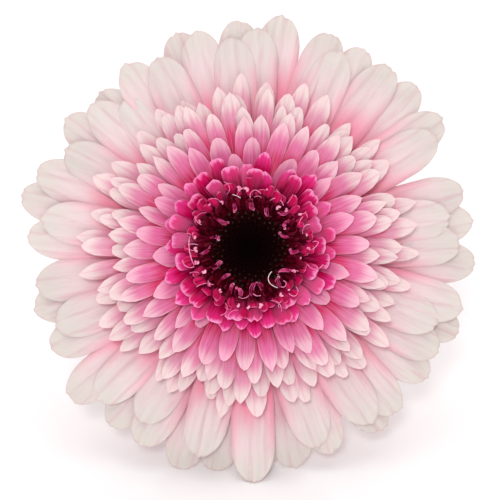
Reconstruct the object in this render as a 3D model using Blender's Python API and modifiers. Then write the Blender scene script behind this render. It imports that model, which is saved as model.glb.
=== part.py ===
"""Cut gerbera: a double flower head on its leafless stem, lying on a surface.

Metres, +Z up. The head leans back on its lowest rays, and its stem runs behind it, down to the
surface and along it. The origin is the middle of the footprint, on the surface.
"""
import math
import random

import bmesh
import bpy
from mathutils import Matrix, Vector

MM = 0.001
MERGE = 0.001 * MM
NO_BEND = 1e-6
SHARP_ANGLE = math.radians(40)
SEED = 7

# The head on the surface
LEAN = math.radians(25)
HEAD_CENTRE = Vector((0.35, -101.5, 48.2)) * MM

# Every blade is at full width past this share of its length. Its rounded point has this
# exponent: 0.5 is a half ellipse, and 1 is a sharper point.
FULL_WIDTH_SHARE = 0.62
TIP_BLUNTNESS = 0.62

# Outer rays: bearing clockwise from the top in degrees, reach from the middle of the head in mm
BACK_RAYS = (
    (8, 55.4), (30, 54.2), (46, 55.0), (56, 54.6), (83, 52.9), (94, 53.2), (112, 53.2), (126, 51.9),
    (144, 53.3), (168, 53.3), (179, 55.0), (198, 55.0), (218, 53.3), (230, 55.2), (254, 52.8),
    (283, 55.2), (305, 53.2), (316, 51.0), (341, 53.6), (357, 53.5),
)
MIDDLE_RAYS = (
    (2, 51.7), (21, 54.0), (38, 54.0), (75, 51.9), (89, 49.4), (106, 51.9), (119, 50.8), (138, 52.2),
    (158, 52.3), (175, 51.6), (189, 53.3), (209, 53.2), (243, 52.3), (260, 51.0), (273, 52.5),
    (290, 53.3), (312, 50.2), (326, 52.3), (346, 52.4),
)
FRONT_RAYS = (
    (25, 51.0), (59, 51.0), (81, 47.7), (112, 47.5), (145, 50.1), (161, 49.6), (194, 50.3),
    (212, 48.3), (225, 50.9), (248, 49.1), (278, 49.4), (298, 49.1), (319, 45.7), (334, 49.5),
    (355, 49.5),
)
RAY_WIDTH = 10.2 * MM
RAY_ROOT_WIDTH = 3.4 * MM
RAY_THICK = 0.8 * MM
RAY_CAMBER = 0.55 * MM
RAY_ROOT_RADIUS = 11.0 * MM
RAY_ROOT_HEIGHT = 0.9 * MM
RAY_LAYER = 0.35 * MM
RAY_RISE = (9.0, -9.0)
RAY_LAYER_RISE = (1.6, 1.3)
RAY_JITTER_RISE = 1.2
RAY_JITTER_TWIST = 3.0
RAY_OVERLAP = 13
RAY_TAPER = 8.6 * MM
RAY_STATIONS = (0.0, 0.2, 0.5, 0.78, 0.9, 0.965, 1.0)
RAY_BASE_RADIUS = 13.4 * MM
RAY_BASE_HEIGHT = 3.2 * MM
PRESSED_SPAN = 21

# Trans florets, in a golden spiral from the outside in
GOLDEN_TURN = 137.508
TRANS_COUNT = 160
TRANS_REACH = (39.5 * MM, 27.75 * MM, 23.0 * MM)
TRANS_REACH_POWER = 8
TRANS_JITTER_TURN = 2.0
TRANS_JITTER_REACH = 1.3 * MM
TRANS_JITTER_WIDTH = 0.1
TRANS_SWERVE = 0.8 * MM
TRANS_WIDTH = 4.6 * MM
TRANS_ROOT_WIDTH = 1.7 * MM
TRANS_THICK = 0.7 * MM
TRANS_CAMBER = 0.5 * MM
TRANS_TAPER = 6.0 * MM
TRANS_STATIONS = (0.0, 0.34, 0.7, 0.93, 1.0)
TRANS_ROOT_RADIUS = 9.6 * MM
TRANS_ROOT_HEIGHTS = (4.4 * MM, 7.9 * MM)
TRANS_ROOT_RISE = (17.0, 4.0, 6.0)
TRANS_TIP_RISE = (0.0, 6.0, 12.0)
TRANS_BASE_RADIUS = 12.0 * MM
TRANS_BASE_HEIGHTS = (3.5 * MM, 8.8 * MM)

# Inner florets, the short deep pink ones round the eye
INNER_COUNT = 46
INNER_REACH = (22.0 * MM, 17.4 * MM)
INNER_JITTER_TURN = 2.0
INNER_JITTER_REACH = 0.5 * MM
INNER_WIDTH = 3.9 * MM
INNER_ROOT_WIDTH = 1.7 * MM
INNER_THICK = 0.7 * MM
INNER_CAMBER = 0.5 * MM
INNER_TAPER = 2.6 * MM
INNER_STATIONS = (0.0, 0.35, 0.72, 0.92, 1.0)
INNER_ROOT_RADIUS = 10.4 * MM
INNER_ROOT_HEIGHTS = (10.7 * MM, 11.3 * MM)
INNER_ROOT_RISE = (20.0, 30.0)
INNER_TIP_RISE = (29.0, 41.0)
INNER_BASE_RADIUS = 11.8 * MM
INNER_BASE_HEIGHTS = (9.9 * MM, 11.8 * MM)

# Disc florets, the dark eye
DISC_COUNT = 66
DISC_RADIUS = 11.4 * MM
DISC_BASE_RADII = (10.2 * MM, 12.4 * MM)
DISC_BASE_HEIGHTS = (12.15 * MM, 13.9 * MM)
BUD_RADII = (1.04 * MM, 1.5 * MM)
BUD_HEIGHTS = (1.2 * MM, 1.5 * MM)
BUD_LEAN = 22

# Green cup under the head: radius and height of its profile in mm. A row of bracts has its
# count, root radius, root height, reach, and rises at the root and the tip.
CUP_PROFILE = ((3.9, -15.9), (6.6, -15.0), (9.9, -12.6), (12.2, -9.2), (13.3, -5.2), (13.4, -0.35))
CUP_STEPS = 26
BRACT_ROWS = (
    (11, 5.4 * MM, -14.8 * MM, 11.6 * MM, 38, 50),
    (13, 8.4 * MM, -13.2 * MM, 14.8 * MM, 50, 50),
    (13, 10.8 * MM, -10.2 * MM, 17.4 * MM, 52, 40),
    (14, 12.3 * MM, -6.2 * MM, 20.4 * MM, 44, 14),
)
BRACT_JITTER_TURN = 3.0
BRACT_JITTER_REACH = 0.5 * MM
BRACT_WIDTH = 3.6 * MM
BRACT_ROOT_WIDTH = 2.9 * MM
BRACT_THICK = 0.8 * MM
BRACT_CAMBER = 0.4 * MM
BRACT_TAPER = 7.0 * MM
BRACT_STATIONS = (0.0, 0.35, 0.75, 1.0)

# Stem: along the head's axis, an arc down to the surface, and a stretch along it
STEM_RADIUS = 3.0 * MM
STEM_NECK_RADIUS = 3.7 * MM
STEM_END_RADIUS = 3.4 * MM
STEM_NECK_LENGTH = 14.0 * MM
STEM_START = 16.2 * MM
STEM_LYING = 44.0 * MM
STEM_SWAY = 9.0 * MM
STEM_POINTS = 30
CUT_SLANT = math.radians(28)


def remove_scene_objects():
    """Empty the scene, so that it holds this flower alone."""
    for obj in list(bpy.data.objects):
        bpy.data.objects.remove(obj, do_unlink=True)


def collection(name):
    """A collection of the scene, made once."""
    made = bpy.data.collections.new(name)
    bpy.context.scene.collection.children.link(made)
    return made


def material(name, colour, roughness):
    """A plain finish in one colour."""
    made = bpy.data.materials.new(name)
    made.use_nodes = True
    shader = made.node_tree.nodes["Principled BSDF"]
    shader.inputs["Base Color"].default_value = (*colour, 1.0)
    shader.inputs["Roughness"].default_value = roughness
    shader.inputs["Metallic"].default_value = 0.0
    return made


def add_object(name, mesh, into):
    """An object for a mesh, in the given collection."""
    obj = bpy.data.objects.new(name, mesh)
    into.objects.link(obj)
    return obj


def blend(pair, share):
    """The value that lies a share of the way between the two of a pair."""
    return pair[0] + (pair[1] - pair[0]) * share


def smooth(share):
    """A share eased in and out."""
    share = min(max(share, 0.0), 1.0)
    return share * share * (3 - 2 * share)


def middle_arc(root, reach, rises):
    """First rise, bend and length of a floret's middle line, an arc from its root to its reach."""
    first, last = (math.radians(rise) for rise in rises)
    bend = last - first or NO_BEND
    return first, bend, (reach - root[0]) * bend / (math.sin(first + bend) - math.sin(first))


def arc_point(root, reach, rises, share):
    """Radius, height and rise of the middle line at a share of its length."""
    first, bend, length = middle_arc(root, reach, rises)
    rise = first + bend * share
    radius = root[0] + length * (math.sin(rise) - math.sin(first)) / bend
    height = root[1] + length * (math.cos(first) - math.cos(rise)) / bend
    return radius, height, rise


def blade_width(share, length, width, root_width, taper):
    """Width of a blade at a share of its length: narrow root, full middle, rounded point."""
    full = root_width + (width - root_width) * smooth(share / FULL_WIDTH_SHARE)
    past = (share * length - (length - taper)) / taper
    if past <= 0:
        return full
    return full * max(1 - past * past, 0.0) ** TIP_BLUNTNESS


def split_alike(bm, rows):
    """Split the sides of a blade into triangles, each from its rim towards the middle line."""
    rim = {vert for row in rows[1:-1] for vert in (row[0], row[2 if len(row) == 4 else 1])}
    order = {vert: n for n, row in enumerate(rows) for vert in row}
    for face in [f for f in bm.faces if len(f.verts) == 4 and not rim.issuperset(f.verts)]:
        near = min(order[vert] for vert in face.verts)
        start = next(v for v in face.verts if v in rim and order[v] == near)
        end = next(v for v in face.verts if v not in rim and order[v] != near)
        bmesh.utils.face_split(face, start, end)
    bmesh.ops.triangulate(bm, faces=bm.faces)


def blade(name, into, bearing, root, reach, rises, width, root_width, thick, camber, taper,
          stations, sides=3, swerve=0.0, twist=0.0):
    """A petal or bract: a slim spindle laid along its arc, wide across and thin through."""
    bm = bmesh.new()
    rings = len(stations) - 1
    bmesh.ops.create_uvsphere(bm, u_segments=sides, v_segments=rings, radius=1.0)
    length = middle_arc(root, reach, rises)[2]
    rows = [[] for _ in stations]
    for vert in bm.verts:
        ring = round(math.acos(max(-1.0, min(1.0, vert.co.z))) / math.pi * rings)
        rows[ring].append(vert)
    for ring, row in enumerate(rows):
        row.sort(key=lambda vert: math.atan2(vert.co.y, vert.co.x) % math.tau)
    along = Vector((math.sin(bearing), math.cos(bearing), 0.0))
    across = Vector((math.cos(bearing), -math.sin(bearing), 0.0))
    for share, row in zip(stations, rows):
        radius, height, rise = arc_point(root, reach, rises, share)
        half = blade_width(share, length, width, root_width, taper) / 2
        up = along * -math.sin(rise) + Vector((0.0, 0.0, math.cos(rise)))
        turned = Matrix.Rotation(twist * share, 3, along)
        side, lift = turned @ across, turned @ up
        middle = along * radius + Vector((0.0, 0.0, height)) + across * swerve * share ** 2
        arch = camber * half / (width / 2)
        if len(row) == 1:
            row[0].co = middle
            continue
        places = [side * half - lift * arch, lift * thick / 2, -side * half - lift * arch,
                  -lift * thick / 2]
        if sides == 3:
            places = [places[0], places[2], places[1]]
        for vert, place in zip(row, places):
            vert.co = middle + place
    split_alike(bm, rows)
    bmesh.ops.recalc_face_normals(bm, faces=bm.faces)
    mesh = bpy.data.meshes.new(name)
    bm.to_mesh(mesh)
    bm.free()
    return add_object(name, mesh, into)


def turned_solid(name, profile, steps, into):
    """A closed solid turned round the head's axis from a profile of radius and height."""
    bm = bmesh.new()
    points = [(0.0, profile[-1][1]), *reversed(profile), (0.0, profile[0][1])]
    verts = [bm.verts.new((radius, 0.0, height)) for radius, height in points]
    for first, second in zip(verts, verts[1:]):
        bm.edges.new((first, second))
    mesh = bpy.data.meshes.new(name)
    bm.to_mesh(mesh)
    bm.free()
    obj = add_object(name, mesh, into)
    screw = obj.modifiers.new("Turn", "SCREW")
    screw.steps = screw.render_steps = steps
    screw.use_merge_vertices = True
    screw.merge_threshold = MERGE
    apply_modifiers(obj)
    return obj


def apply_modifiers(obj):
    """Give an object the mesh that its modifiers make."""
    evaluated = obj.evaluated_get(bpy.context.evaluated_depsgraph_get())
    mesh = bpy.data.meshes.new_from_object(evaluated)
    obj.modifiers.clear()
    obj.data = mesh


def outer_body(obj):
    """Drop loose scraps and the walls of sealed hollows, and keep the largest body."""
    bm = bmesh.new()
    bm.from_mesh(obj.data)
    left = set(bm.verts)
    bodies = []
    while left:
        body = {left.pop()}
        front = list(body)
        while front:
            vert = front.pop()
            for edge in vert.link_edges:
                other = edge.other_vert(vert)
                if other not in body:
                    body.add(other)
                    front.append(other)
        left -= body
        bodies.append(body)
    largest = max(bodies, key=len)
    scraps = [vert for body in bodies if body is not largest for vert in body]
    bmesh.ops.delete(bm, geom=scraps, context="VERTS")
    bm.to_mesh(obj.data)
    bm.free()


def fuse(core, pieces):
    """Join the pieces to their core as one body, and remove them."""
    union = core.modifiers.new("Union", "BOOLEAN")
    union.operation = "UNION"
    union.operand_type = "COLLECTION"
    union.collection = pieces
    union.solver = "MANIFOLD"
    apply_modifiers(core)
    for piece in list(pieces.objects):
        bpy.data.objects.remove(piece, do_unlink=True)
    bpy.data.collections.remove(pieces)
    outer_body(core)


def finish(obj, parent, look):
    """Parent a piece, give it its finish and shade it smooth."""
    obj.parent = parent
    obj.data.materials.clear()
    obj.data.materials.append(look)
    obj.data.shade_smooth()
    obj.data.set_sharp_from_angle(angle=SHARP_ANGLE)


def turn_between(first, second):
    """Angle between two bearings in degrees."""
    return abs((first - second + 180) % 360 - 180)


def ray_layers(rays):
    """Each ray's layer: one above the highest of the earlier rays that it covers."""
    layers = []
    for n, (bearing, _) in enumerate(rays):
        under = [layers[m] for m in range(n) if turn_between(bearing, rays[m][0]) < RAY_OVERLAP]
        layers.append(1 + max(under, default=-1))
    return layers


def pressed_rises(bearing, root, reach, rises):
    """Rises of a ray that bends until its tip touches the surface."""
    drop = reach * math.cos(math.radians(180 - bearing)) * math.cos(LEAN)
    height = (drop - HEAD_CENTRE.z) / math.sin(LEAN)
    chord = math.degrees(math.atan2(height - root[1], reach - root[0]))
    return rises[0], 2 * chord - rises[0]


def outer_rays(parts):
    """Three rows of broad rays, fused at their roots."""
    draw = random.Random(SEED)
    base = ((RAY_BASE_RADIUS, 0.0), (RAY_BASE_RADIUS, RAY_BASE_HEIGHT))
    core = turned_solid("outer_rays", base, CUP_STEPS, parts)
    pieces = collection("ray_pieces")
    rays = [(bearing, reach * MM) for bearing, reach in BACK_RAYS + MIDDLE_RAYS + FRONT_RAYS]
    for n, ((bearing, reach), layer) in enumerate(zip(rays, ray_layers(rays))):
        root = (RAY_ROOT_RADIUS, RAY_ROOT_HEIGHT + RAY_LAYER * layer)
        rises = [rise + step * layer for rise, step in zip(RAY_RISE, RAY_LAYER_RISE)]
        rises[1] += draw.uniform(-1, 1) * RAY_JITTER_RISE
        twist = math.radians(draw.uniform(-1, 1) * RAY_JITTER_TWIST)
        if turn_between(bearing, 180) < PRESSED_SPAN and n < len(BACK_RAYS + MIDDLE_RAYS):
            rises = pressed_rises(bearing, root, reach, rises)
            twist = 0.0
        blade(f"ray_{n}", pieces, math.radians(bearing), root, reach, rises, RAY_WIDTH,
              RAY_ROOT_WIDTH, RAY_THICK, RAY_CAMBER, RAY_TAPER, RAY_STATIONS, sides=4,
              twist=twist)
    fuse(core, pieces)
    return core


def trans_florets(parts):
    """Rows of slim florets, each row shorter and steeper than the one outside it."""
    draw = random.Random(SEED + 1)
    base = [(TRANS_BASE_RADIUS, height) for height in TRANS_BASE_HEIGHTS]
    core = turned_solid("trans_florets", base, CUP_STEPS, parts)
    pieces = collection("trans_pieces")
    for n in range(TRANS_COUNT):
        share = n / (TRANS_COUNT - 1)
        bearing = n * GOLDEN_TURN + draw.uniform(-1, 1) * TRANS_JITTER_TURN
        reach = blend(TRANS_REACH[:2], share) + draw.uniform(-1, 1) * TRANS_JITTER_REACH
        reach -= (TRANS_REACH[1] - TRANS_REACH[2]) * share ** TRANS_REACH_POWER
        root = (TRANS_ROOT_RADIUS, blend(TRANS_ROOT_HEIGHTS, share))
        rises = [first + step * share + curve * share ** 2
                 for first, step, curve in (TRANS_ROOT_RISE, TRANS_TIP_RISE)]
        blade(f"trans_{n}", pieces, math.radians(bearing), root, reach, rises,
              TRANS_WIDTH * (1 + draw.uniform(-1, 1) * TRANS_JITTER_WIDTH), TRANS_ROOT_WIDTH,
              TRANS_THICK, TRANS_CAMBER, TRANS_TAPER, TRANS_STATIONS,
              swerve=draw.uniform(-1, 1) * TRANS_SWERVE)
    fuse(core, pieces)
    return core


def inner_florets(parts):
    """The short hooded florets that stand round the eye."""
    draw = random.Random(SEED + 2)
    base = [(INNER_BASE_RADIUS, height) for height in INNER_BASE_HEIGHTS]
    core = turned_solid("inner_florets", base, CUP_STEPS, parts)
    pieces = collection("inner_pieces")
    for n in range(INNER_COUNT):
        share = n / (INNER_COUNT - 1)
        bearing = (TRANS_COUNT + n) * GOLDEN_TURN + draw.uniform(-1, 1) * INNER_JITTER_TURN
        reach = blend(INNER_REACH, share) + draw.uniform(-1, 1) * INNER_JITTER_REACH
        root = (INNER_ROOT_RADIUS, blend(INNER_ROOT_HEIGHTS, share))
        rises = (blend(INNER_ROOT_RISE, share), blend(INNER_TIP_RISE, share))
        blade(f"inner_{n}", pieces, math.radians(bearing), root, reach, rises, INNER_WIDTH,
              INNER_ROOT_WIDTH, INNER_THICK, INNER_CAMBER, INNER_TAPER, INNER_STATIONS)
    fuse(core, pieces)
    return core


def bud(name, into, place, lean, bearing, radius, height):
    """One closed disc floret: a blunt four-sided spindle, sunk by half and leaning outwards."""
    bm = bmesh.new()
    bmesh.ops.create_uvsphere(bm, u_segments=4, v_segments=3, radius=1.0)
    tilt = Matrix.Rotation(-bearing, 4, "Z") @ Matrix.Rotation(-lean, 4, "X")
    size = Matrix.Diagonal((radius, radius, height, 1.0))
    bmesh.ops.transform(bm, matrix=Matrix.Translation(place) @ tilt @ size, verts=bm.verts)
    mesh = bpy.data.meshes.new(name)
    bm.to_mesh(mesh)
    bm.free()
    return add_object(name, mesh, into)


def disc_florets(parts):
    """The eye: closed florets in a golden spiral, small in the middle and taller at the rim."""
    base = list(zip(DISC_BASE_RADII, DISC_BASE_HEIGHTS))
    core = turned_solid("disc_florets", base, CUP_STEPS, parts)
    pieces = collection("disc_pieces")
    for n in range(DISC_COUNT):
        share = math.sqrt((n + 0.5) / DISC_COUNT)
        bearing = math.radians(n * GOLDEN_TURN)
        radius = DISC_RADIUS * share
        place = Vector((math.sin(bearing) * radius, math.cos(bearing) * radius,
                        DISC_BASE_HEIGHTS[1]))
        bud(f"bud_{n}", pieces, place, math.radians(BUD_LEAN) * share ** 2, bearing,
            blend(BUD_RADII, share), blend(BUD_HEIGHTS, share))
    fuse(core, pieces)
    return core


def involucre(parts):
    """The green cup, with its bracts in four rows."""
    draw = random.Random(SEED + 3)
    profile = [(radius * MM, height * MM) for radius, height in CUP_PROFILE]
    core = turned_solid("involucre", profile, CUP_STEPS, parts)
    pieces = collection("bract_pieces")
    for row, (count, radius, height, reach, *rises) in enumerate(BRACT_ROWS):
        for n in range(count):
            bearing = (n + row / 2) * 360 / count + draw.uniform(-1, 1) * BRACT_JITTER_TURN
            blade(f"bract_{row}_{n}", pieces, math.radians(bearing), (radius, height),
                  reach + draw.uniform(-1, 0) * BRACT_JITTER_REACH, rises, BRACT_WIDTH,
                  BRACT_ROOT_WIDTH, BRACT_THICK, BRACT_CAMBER, BRACT_TAPER, BRACT_STATIONS)
    fuse(core, pieces)
    return core


def stem_route():
    """Points of the stem's middle line, from under the cup to its cut end."""
    away = Vector((0.0, math.cos(LEAN), -math.sin(LEAN)))
    start = HEAD_CENTRE + away * STEM_START
    bend_radius = (start.z - STEM_END_RADIUS) / (1 - math.cos(LEAN))
    arc = bend_radius * LEAN
    total = arc + STEM_LYING
    route = []
    for n in range(STEM_POINTS):
        run = total * n / (STEM_POINTS - 1)
        angle = LEAN * max(1 - run / arc, 0.0)
        over = max(run - arc, 0.0)
        y = start.y + bend_radius * (math.sin(LEAN) - math.sin(angle)) + over
        z = start.z - bend_radius * (math.cos(angle) - math.cos(LEAN))
        x = start.x + STEM_SWAY * (run / total) ** 2
        neck = smooth(run / STEM_NECK_LENGTH)
        radius = blend((STEM_NECK_RADIUS, STEM_RADIUS), neck)
        radius += (STEM_END_RADIUS - STEM_RADIUS) * smooth(run / total)
        route.append((Vector((x, y, z)), radius))
    return route


def stem(parts):
    """The leafless stem, cut on a slant."""
    route = stem_route()
    curve = bpy.data.curves.new("stem_line", "CURVE")
    curve.dimensions = "3D"
    curve.bevel_depth = 1.0
    curve.bevel_resolution = 4
    curve.use_fill_caps = True
    spline = curve.splines.new("POLY")
    spline.points.add(len(route) - 1)
    for point, (place, radius) in zip(spline.points, route):
        point.co = (*place, 1.0)
        point.radius = radius
    line = add_object("stem_line", curve, parts)
    mesh = bpy.data.meshes.new_from_object(
        line.evaluated_get(bpy.context.evaluated_depsgraph_get()))
    bpy.data.objects.remove(line, do_unlink=True)
    bm = bmesh.new()
    bm.from_mesh(mesh)
    bmesh.ops.remove_doubles(bm, verts=bm.verts, dist=MERGE)
    end, end_radius = route[-1]
    slant = Vector((0.0, math.cos(CUT_SLANT), math.sin(CUT_SLANT)))
    plane = end - Vector((0.0, end_radius * math.tan(CUT_SLANT), 0.0))
    cut = bmesh.ops.bisect_plane(bm, geom=[*bm.verts, *bm.edges, *bm.faces], plane_co=plane,
                                 plane_no=slant, clear_outer=True)
    rim = [edge for edge in cut["geom_cut"] if isinstance(edge, bmesh.types.BMEdge)]
    bmesh.ops.contextual_create(bm, geom=rim)
    bmesh.ops.recalc_face_normals(bm, faces=bm.faces)
    bm.to_mesh(mesh)
    bm.free()
    return add_object("stem", mesh, parts)


def main():
    """Build the flower, piece by piece, from the stem to the eye."""
    remove_scene_objects()
    parts = collection("cut_gerbera")
    head = bpy.data.objects.new("head", None)
    head.matrix_world = (Matrix.Translation(HEAD_CENTRE)
                         @ Matrix.Rotation(math.pi / 2 - LEAN, 4, "X"))
    parts.objects.link(head)
    finish(stem(parts), None, material("stem_green", (0.30, 0.42, 0.12), 0.6))
    finish(involucre(parts), head, material("bract_green", (0.16, 0.30, 0.07), 0.65))
    finish(outer_rays(parts), head, material("pale_pink", (0.84, 0.60, 0.60), 0.55))
    finish(trans_florets(parts), head, material("rose_pink", (0.84, 0.36, 0.45), 0.55))
    finish(inner_florets(parts), head, material("deep_pink", (0.62, 0.02, 0.16), 0.5))
    finish(disc_florets(parts), head, material("eye_maroon", (0.04, 0.002, 0.006), 0.6))


main()
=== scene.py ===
"""Looks of the cut gerbera: petals, eye, cup and stem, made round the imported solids.

Metres, +Z up, in the solids' own frame. Each petal lies on the same arc as its solid blade, from
the same values and the same seeded draws, so it stays where its solid is.
"""

import logging
import math
import random
from collections.abc import Iterator, Sequence
from contextlib import contextmanager
from dataclasses import dataclass, field, replace
from enum import Enum
from functools import cached_property

import bpy
import numpy as np
from mathutils import Matrix, Vector


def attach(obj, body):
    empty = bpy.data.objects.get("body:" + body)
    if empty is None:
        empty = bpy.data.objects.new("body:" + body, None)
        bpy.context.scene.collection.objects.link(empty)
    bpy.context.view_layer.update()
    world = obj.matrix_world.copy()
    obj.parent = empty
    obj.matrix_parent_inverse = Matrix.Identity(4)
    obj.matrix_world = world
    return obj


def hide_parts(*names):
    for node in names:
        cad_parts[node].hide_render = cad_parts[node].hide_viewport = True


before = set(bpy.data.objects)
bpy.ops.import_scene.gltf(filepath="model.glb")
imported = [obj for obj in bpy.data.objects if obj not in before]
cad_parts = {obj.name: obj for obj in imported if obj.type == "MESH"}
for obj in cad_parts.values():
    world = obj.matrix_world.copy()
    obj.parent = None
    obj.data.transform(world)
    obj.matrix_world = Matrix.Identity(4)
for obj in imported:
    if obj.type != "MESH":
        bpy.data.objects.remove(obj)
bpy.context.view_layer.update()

log = logging.getLogger("cut_gerbera")

MM = 0.001
# A bend this small stands for none, and points this near are one point.
NO_BEND = 1e-6
MERGE = 1e-6
# The draws that the solids share come from the first seed, those of the looks alone from the other.
SEED = 7
EXTRA_SEED = 70
# Degrees from one floret of a spiral to the next.
GOLDEN_TURN = 137.508
SMOOTH_ANGLE = math.radians(50)
# A face whose normal's height is more than this looks up.
UPRIGHT = 0.9
# The share of its length from which a petal has its full width, and how blunt its tip is.
FULL_WIDTH_SHARE = 0.62
TIP_BLUNTNESS = 0.62
# How far the lines of one depth of colour follow the curve of the tip.
FADE_CURVE = 0.3
# The unit of the lengths that a mesh holds for its material.
TIP_UNIT = 10 * MM
# How far from one another petals lie in the space of their patterns.
OWN_PATTERN = 40.0
# How many finer layers a fine pattern has, and how strong they are.
FINE_LAYERS = 3.0
FINE_STRENGTH = 0.6
# What phases, in radians, and chances are drawn from.
PHASES = (0.0, 6.3)
CHANCES = (0.0, 1.0)

Colour = tuple[int, int, int]
Pair = tuple[float, float]
Object = bpy.types.Object
Material = bpy.types.Material
Socket = bpy.types.NodeSocket
Ranges = tuple[tuple[str, tuple[float, ...]], ...]


class Part(Enum):
    """A node of the solids, with its slot in the record."""

    STEM = ("stem", "stem")
    CUP = ("involucre", "bracts")
    RAYS = ("outer_rays", "outer_rays")
    TRANS = ("trans_florets", "trans_florets")
    INNER = ("inner_florets", "inner_florets")
    EYE = ("disc_florets", "disc_florets")


class Row(Enum):
    """The three rows of outer rays, from the back."""

    BACK = 0.0
    MIDDLE = 0.5
    FRONT = 1.0


def blend(pair: Sequence[float], share: float) -> float:
    """The value that lies a share of the way between the two of a pair."""
    return pair[0] + (pair[1] - pair[0]) * share


def smooth(share: np.ndarray | float) -> np.ndarray:
    """A share, or an array of shares, eased in and out."""
    share = np.clip(share, 0.0, 1.0)
    return share * share * (3 - 2 * share)


def eased(value: np.ndarray | float, start: float, span: float) -> np.ndarray:
    """How far a value is past a start, as an eased share of a span."""
    return smooth((value - start) / span)


def turn_between(first: float, second: float) -> float:
    """Angle between two bearings in degrees."""
    return abs((first - second + 180) % 360 - 180)


def linear(colour: Colour) -> tuple[float, float, float, float]:
    """A display colour of 0 to 255 as the shader's linear colour."""
    parts = [part / 255 for part in colour]
    return (*(p / 12.92 if p <= 0.04045 else ((p + 0.055) / 1.055) ** 2.4 for p in parts), 1.0)


def deselect() -> None:
    """Clear the selection, because operators act on all that is selected."""
    bpy.ops.object.select_all(action="DESELECT")


def make_active(obj: Object) -> None:
    """Select one object alone and make it the active one.

    Args:
        obj: The object.
    """
    deselect()
    obj.select_set(True)
    bpy.context.view_layer.objects.active = obj


def added(name: str, data: bpy.types.ID) -> Object:
    """Put a new object in the scene.

    Args:
        name: The object's name.
        data: Its mesh, curve, light or camera.

    Returns:
        The object, at the origin.
    """
    obj = bpy.data.objects.new(name, data)
    bpy.context.scene.collection.objects.link(obj)
    return obj


@contextmanager
def edit_mode() -> Iterator[None]:
    """Shape the active mesh in edit mode, and then leave that mode."""
    bpy.ops.object.mode_set(mode="EDIT")
    yield
    bpy.ops.object.mode_set(mode="OBJECT")


def pick(obj: Object, kind: str, chosen: list[bool]) -> None:
    """Select some edges or faces of the active mesh and nothing else of it.

    Args:
        obj: The object, which is the active one.
        kind: EDGE or FACE.
        chosen: Whether each is selected, in the mesh's order.
    """
    with edit_mode():
        bpy.ops.mesh.select_mode(type=kind)
        bpy.ops.mesh.select_all(action="DESELECT")
    elements = obj.data.edges if kind == "EDGE" else obj.data.polygons
    elements.foreach_set("select", chosen)


def seal() -> None:
    """Merge the active mesh's doubles and turn its faces outwards."""
    with edit_mode():
        bpy.ops.mesh.select_all(action="SELECT")
        bpy.ops.mesh.remove_doubles(threshold=MERGE)
        bpy.ops.mesh.normals_make_consistent(inside=False)


def apply_modifier(obj: Object, kind: str, **values: object) -> None:
    """Add a modifier with these values and apply it.

    Args:
        obj: The object that is changed.
        kind: The modifier's type.
        values: Its settings.
    """
    make_active(obj)
    made = obj.modifiers.new(kind.title(), kind)
    for name, value in values.items():
        setattr(made, name, value)
    bpy.ops.object.modifier_apply(modifier=made.name)


def joined(name: str, pieces: list[Object]) -> Object:
    """Join pieces into one object.

    Args:
        name: The name that the joined object gets.
        pieces: At least one mesh object.

    Returns:
        The joined object, at the origin.
    """
    deselect()
    for piece in pieces:
        piece.select_set(True)
    bpy.context.view_layer.objects.active = pieces[0]
    bpy.ops.object.join()
    made = bpy.context.view_layer.objects.active
    made.name = made.data.name = name
    return made


def finished(obj: Object, part: Part, *looks: Material,
             keep_slots: bool = False) -> Object:
    """Dress a piece, let it ride on the part and stand for its solid.

    Args:
        obj: The piece, in place in the row frame.
        part: The solid that it stands for.
        looks: Its materials, in the order of its slots.
        keep_slots: Whether its faces keep the slots that they have.

    Returns:
        The same piece.
    """
    slots = [poly.material_index for poly in obj.data.polygons] if keep_slots else None
    obj.data.materials.clear()
    for look in looks:
        obj.data.materials.append(look)
    if slots:
        obj.data.polygons.foreach_set("material_index", slots)
    make_active(obj)
    bpy.ops.object.shade_smooth_by_angle(angle=SMOOTH_ANGLE)
    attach(obj, "root")
    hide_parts(part.value[0])
    log.info("%s: %d faces", obj.name, len(obj.data.polygons))
    return obj


def spun(name: str, profile: Sequence[Pair], steps: int) -> Object:
    """Turn a profile round the head's axis into a closed solid.

    Args:
        name: The object's name.
        profile: Radii and heights in mm, from the axis round the solid and back to the axis.
        steps: Faces round it.

    Returns:
        The solid in the head's own axes, with its object at the origin.
    """
    deselect()
    bpy.ops.mesh.primitive_circle_add(vertices=len(profile), radius=1.0)
    obj = bpy.context.object
    obj.name = obj.data.name = name
    for vert, (radius, height) in zip(obj.data.vertices, profile):
        vert.co = (radius * MM, 0.0, height * MM)
    ends = {0, len(profile) - 1}
    pick(obj, "EDGE", [set(edge.vertices) == ends for edge in obj.data.edges])
    with edit_mode():
        bpy.ops.mesh.delete(type="EDGE")
        bpy.ops.mesh.select_all(action="SELECT")
        bpy.ops.mesh.spin(steps=steps, angle=math.tau, center=(0, 0, 0), axis=(0, 0, 1))
    seal()
    return obj


def give(obj: Object, **values: np.ndarray | float) -> None:
    """Store attributes on a mesh's points, for its material to read.

    Args:
        obj: The object.
        values: One value for all points, or one for each, by the attribute's name.
    """
    for key, value in values.items():
        layer = obj.data.attributes.new(key, "FLOAT", "POINT")
        layer.data.foreach_set("value", np.full(len(obj.data.vertices), value, np.float32))


def points_of(obj: Object) -> np.ndarray:
    """Read the places of a mesh's points.

    Args:
        obj: The object.

    Returns:
        The places, one row each.
    """
    points = np.empty(len(obj.data.vertices) * 3)
    obj.data.vertices.foreach_get("co", points)
    return points.reshape(-1, 3)


def set_points(obj: Object, points: np.ndarray) -> None:
    """Move a mesh's points."""
    obj.data.vertices.foreach_set("co", points.astype(np.float32).ravel())
    obj.data.update()


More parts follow.
